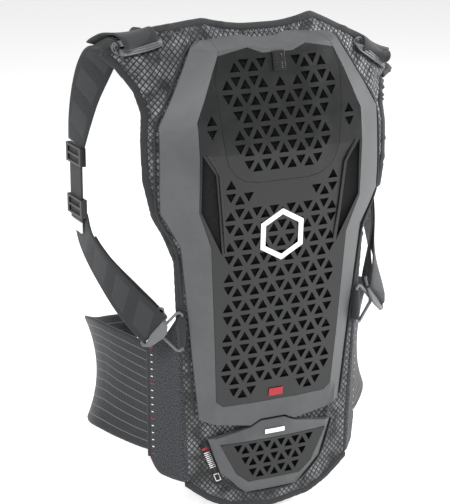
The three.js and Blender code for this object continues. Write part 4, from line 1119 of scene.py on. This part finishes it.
def belt_wall(name, side, stations, thick, columns, rows, flare, seam, height, soft):
    middle, half = [], []
    for i in range(rows + 1):
        line, backs = [], []
        for j in range(columns + 1):
            point, normal = wall_point(stations, j / columns, i / rows, flare, seam)
            if SIDES[side] > 0:
                point, normal = mirrored(point, 1), Vector((-normal.x, normal.y, 0))
            line.append(point)
            backs.append(-normal * thick / 2 * (1 + soft * math.sin(i * 0.9) * math.sin(j * 0.7)))
        middle.append(line)
        half.append(backs)
    run = [0.0]
    for j in range(columns):
        run.append(run[-1] + (middle[rows // 2][j + 1] - middle[rows // 2][j]).length)
    return slab(name, middle, half, lambda i, j: (run[j], height * i / rows))


for side in SIDES:
    panel = belt_wall(f"belt_neoprene_{side}", side, PANEL, 0.0042, 30, 90, 0, True, 0.157, 0.08)
    dress(panel, "neoprene", f"belt_{side}", [f"belt_panel_{side}"])
    band = belt_wall(f"belt_elastic_{side}", side, BAND, 0.0030, 140, 60, FLARE, False, BELT_HEIGHT, 0.05)
    dress(band, "elastic_band", f"belt_{side}", [f"belt_band_{side}"])
print("belt walls done")

# %% [markdown]
# The panel and band are joined by a flat seam, and ticks beside it mark how far the belt is drawn in.
# They are printed in thick ink, red for every fifth tick. They are short bars laid on the panel.

# %% Belt seam, ticks and closures
INK = 0.0019, 0.0024      # the ink's two faces, from the middle of the panel
TICK_PITCH, LONG_TICK, SHORT_TICK = 8.4, 0.045, 0.024


def on_wall(side, stations, t, up, lift, flare, seam):
    point, normal = wall_point(stations, t, up, flare, seam)
    point += normal * lift
    return (mirrored(point, 1), Vector((-normal.x, normal.y, 0))) if SIDES[side] > 0 else (point, normal)


def bar_on_wall(vertices, faces, side, t, z, long, tall):
    """Adds one thick printed bar, a level box bent to the wall, to a mesh's lists."""
    corners = []
    for lift in INK:
        for a, b in ((-long, -tall), (long, -tall), (long, tall), (-long, tall)):
            low, high = (spline([float(s[n]) for s in PANEL], t + a) for n in (2, 3))
            corners.append(on_wall(side, PANEL, t + a, (z + b - low) / (high - low), lift, 0, True)[0])
    add_box(vertices, faces, corners)


for side in SIDES:
    for colour, wanted in (("red_print", lambda n: n % 5 == 0), ("white_print", lambda n: n % 5 != 0)):
        vertices, faces = [], []
        for n in range(16):
            if wanted(n):
                long = LONG_TICK if n % 5 == 0 else SHORT_TICK
                bar_on_wall(vertices, faces, side, 0.88, 198 - TICK_PITCH * n, long, 0.55)
        ticks = make_object(f"belt_ticks_{colour}_{side}", vertices, faces)
        dress(ticks, colour, f"belt_{side}")
    seam = []
    for k in range(61):
        point, normal = on_wall(side, PANEL, 0.985, 0.015 + 0.97 * k / 60, 0.0016, 0, True)
        seam.append((point, normal.cross(Vector((0, 0, 1))) * 0.003, normal * 0.0009))
    tape = loft(f"belt_seam_{side}", seam, circle(12))
    dress(tape, "binding_tape", f"belt_{side}")
    low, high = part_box(f"belt_closure_{side}")
    cells = [[Vector((low[0] + (high[0] - low[0]) * j / 10, (low[1] + high[1]) / 2,
                      low[2] + (high[2] - low[2]) * i / 40)) for j in range(11)] for i in range(41)]
    thick = [[Vector((0, -(high[1] - low[1]) / 2, 0))] * 11 for i in range(41)]
    felt = slab(f"belt_felt_{side}", cells, thick, lambda i, j: (j * 0.0015, i * 0.0024))
    dress(felt, "closure_fleece", f"belt_{side}", [f"belt_closure_{side}"])
print("belt details done")

# %% [markdown]
# ## Liner pads and foam
# The pads on the wearer's side are spacer mesh over foam. A soft cushion is best blown up: a copy of
# the pad's block is remeshed evenly, inflated as cloth under a light pressure, and held close to the
# block. Seam channels are pressed in afterwards, every 52 mm, as where such pads are welded through.

# %% Blow up the liner pads
def even_copy(node, name, cell):
    piece = welded(node, name, flat=0)
    grid = piece.modifiers.new("even", "REMESH")
    grid.mode, grid.voxel_size = "VOXEL", cell
    return baked(piece)


def blown_up(piece, pressure, cap):
    """Inflates a cushion. No point moves further than the cap."""
    rest = [v.co.copy() for v in piece.data.vertices]
    moved = run_cloth(piece, 12, quality=5, mass=0.2, bending_stiffness=0.5,
                      uniform_pressure_force=pressure)
    for vertex, start, end in zip(piece.data.vertices, rest, moved):
        shift = end - start
        vertex.co = start + (shift * (cap / shift.length) if shift.length > cap else shift)
    return piece


CHANNEL_PITCH, CHANNEL_DEEP, CHANNEL_HALF = 0.052, 0.0016, 0.006
for side in SIDES:
    pad = even_copy(f"liner_pad_{side}", f"liner_cushion_{side}", 0.004)
    blown_up(pad, 4, 0.0018)
    soft = pad.modifiers.new("soft", "SUBSURF")
    soft.levels = soft.render_levels = 1
    baked(pad)
    for vertex in pad.data.vertices:
        channel = abs((vertex.co.z - at(0, 0, 40).z) / CHANNEL_PITCH % 1 - 0.5) * CHANNEL_PITCH
        vertex.co -= vertex.normal * CHANNEL_DEEP * (1 - smooth(channel, 0.0, CHANNEL_HALF))
    for polygon in pad.data.polygons:
        polygon.use_smooth = True
    dress(pad, "spacer_mesh", "carrier", [f"liner_pad_{side}"])
for node, body in (("foam_core", "carrier"), ("tail_foam", "tail")):
    block = eased(node, 0.002, "foam", body)
print("pads and foam done")

# %% [markdown]
# ## Care label
# A folded satin label is sewn flat on the tail's cloth. It is one thin sheet. Its printing is reduced
# to plain strips and one empty box, because no lettering is drawn.

# %% Care label and its plain strips
LABEL = [(-66, 36), (-56, 38), (-75.5, 89), (-85, 86)]


def on_label(u, v, lift):
    corners = [Vector((x / 1000, 0, at(0, 0, z).z)) for x, z in LABEL]
    flat = (corners[0] * (1 - u) + corners[1] * u) * (1 - v) + (corners[3] * (1 - u) + corners[2] * u) * v
    return Vector((flat.x, cloth_depth(flat.x, flat.z) - 0.0012 - lift, flat.z))


middle = [[on_label(j / 8, i / 32, 0.0003) for j in range(9)] for i in range(33)]
thin = [[Vector((0, -0.00022, 0))] * 9 for _ in range(33)]
label = slab("satin_label", middle, thin, lambda i, j: (j * 0.0011, i * 0.0017))
dress(label, "label_cloth", "tail", ["care_label"])
strips = {"red_print": [(0.12, 0.88, 0.88, 0.93)],
          "white_print": [(0.15, 0.8, 0.8 - 0.045 * n, 0.815 - 0.045 * n) for n in range(9)] +
                         [(0.2, 0.8, 0.26, 0.275), (0.2, 0.8, 0.1, 0.115), (0.2, 0.27, 0.1, 0.275),
                          (0.73, 0.8, 0.1, 0.275)]}
for colour, boxes in strips.items():
    vertices, faces = [], []
    for u0, u1, v0, v1 in boxes:
        add_box(vertices, faces, [on_label(u, v, lift) for lift in (0.0005, 0.0013)
                                  for u, v in ((u0, v0), (u1, v0), (u1, v1), (u0, v1))])
    strip = make_object(f"label_{colour}", vertices, faces)
    dress(strip, colour, "tail")
print("label done")

# %% [markdown]
# ## Studio
# A pale floor and three soft boxes, as for a catalogue. The camera stands to the left and above.

# %% Floor, lights and camera
LOWEST = CAD_BOX[0][2]
floor = make_object("studio_floor", [(-6, -6, LOWEST), (6, -6, LOWEST), (6, 6, LOWEST), (-6, 6, LOWEST)],
                    [(0, 1, 2, 3)])
paper, _, paper_shader = finish_of("studio_paper", 0.9)
paper_shader.inputs["Base Color"].default_value = linear("#f4f4f4")
paper_shader.inputs["Emission Color"].default_value = linear("#ffffff")
paper_shader.inputs["Emission Strength"].default_value = 0.3
floor.data.materials.append(paper)


def soft_box(name, place, target, size, watts):
    light = bpy.data.lights.new(name, "AREA")
    light.shape, light.size, light.energy = "SQUARE", size, watts
    lamp = bpy.data.objects.new(name, light)
    bpy.context.collection.objects.link(lamp)
    lamp.location = place
    lamp.rotation_euler = (Vector(target) - Vector(place)).to_track_quat("-Z", "Y").to_euler()


CENTRE = (0, 0.02, 0.13)
soft_box("key", (-1.7, -1.2, 1.7), CENTRE, 0.9, 44)
soft_box("rim", (2.0, -0.6, 0.9), CENTRE, 0.8, 52)
soft_box("top", (0.1, 0.3, 2.2), CENTRE, 1.4, 22)
world = bpy.data.worlds.new("studio")
bpy.context.scene.world = world
world.use_nodes = True
world.node_tree.nodes["Background"].inputs[0].default_value = linear("#ffffff")
world.node_tree.nodes["Background"].inputs[1].default_value = 0.5
bpy.context.scene.view_settings.view_transform = "Standard"

CAMERA = Vector((-0.7818, -1.5981, 0.7124))
LOOK_AT = Vector((-0.0606, -0.0229, 0.1628))
lens = bpy.data.cameras.new("catalogue")
lens.lens = 122.1
lens.clip_start, lens.clip_end = 0.05, 50
camera = bpy.data.objects.new("catalogue", lens)
bpy.context.collection.objects.link(camera)
camera.location = CAMERA
camera.rotation_euler = (LOOK_AT - CAMERA).to_track_quat("-Z", "Y").to_euler()
bpy.context.scene.camera = camera
print("camera", round((CAMERA - LOOK_AT).length, 3), "m away")
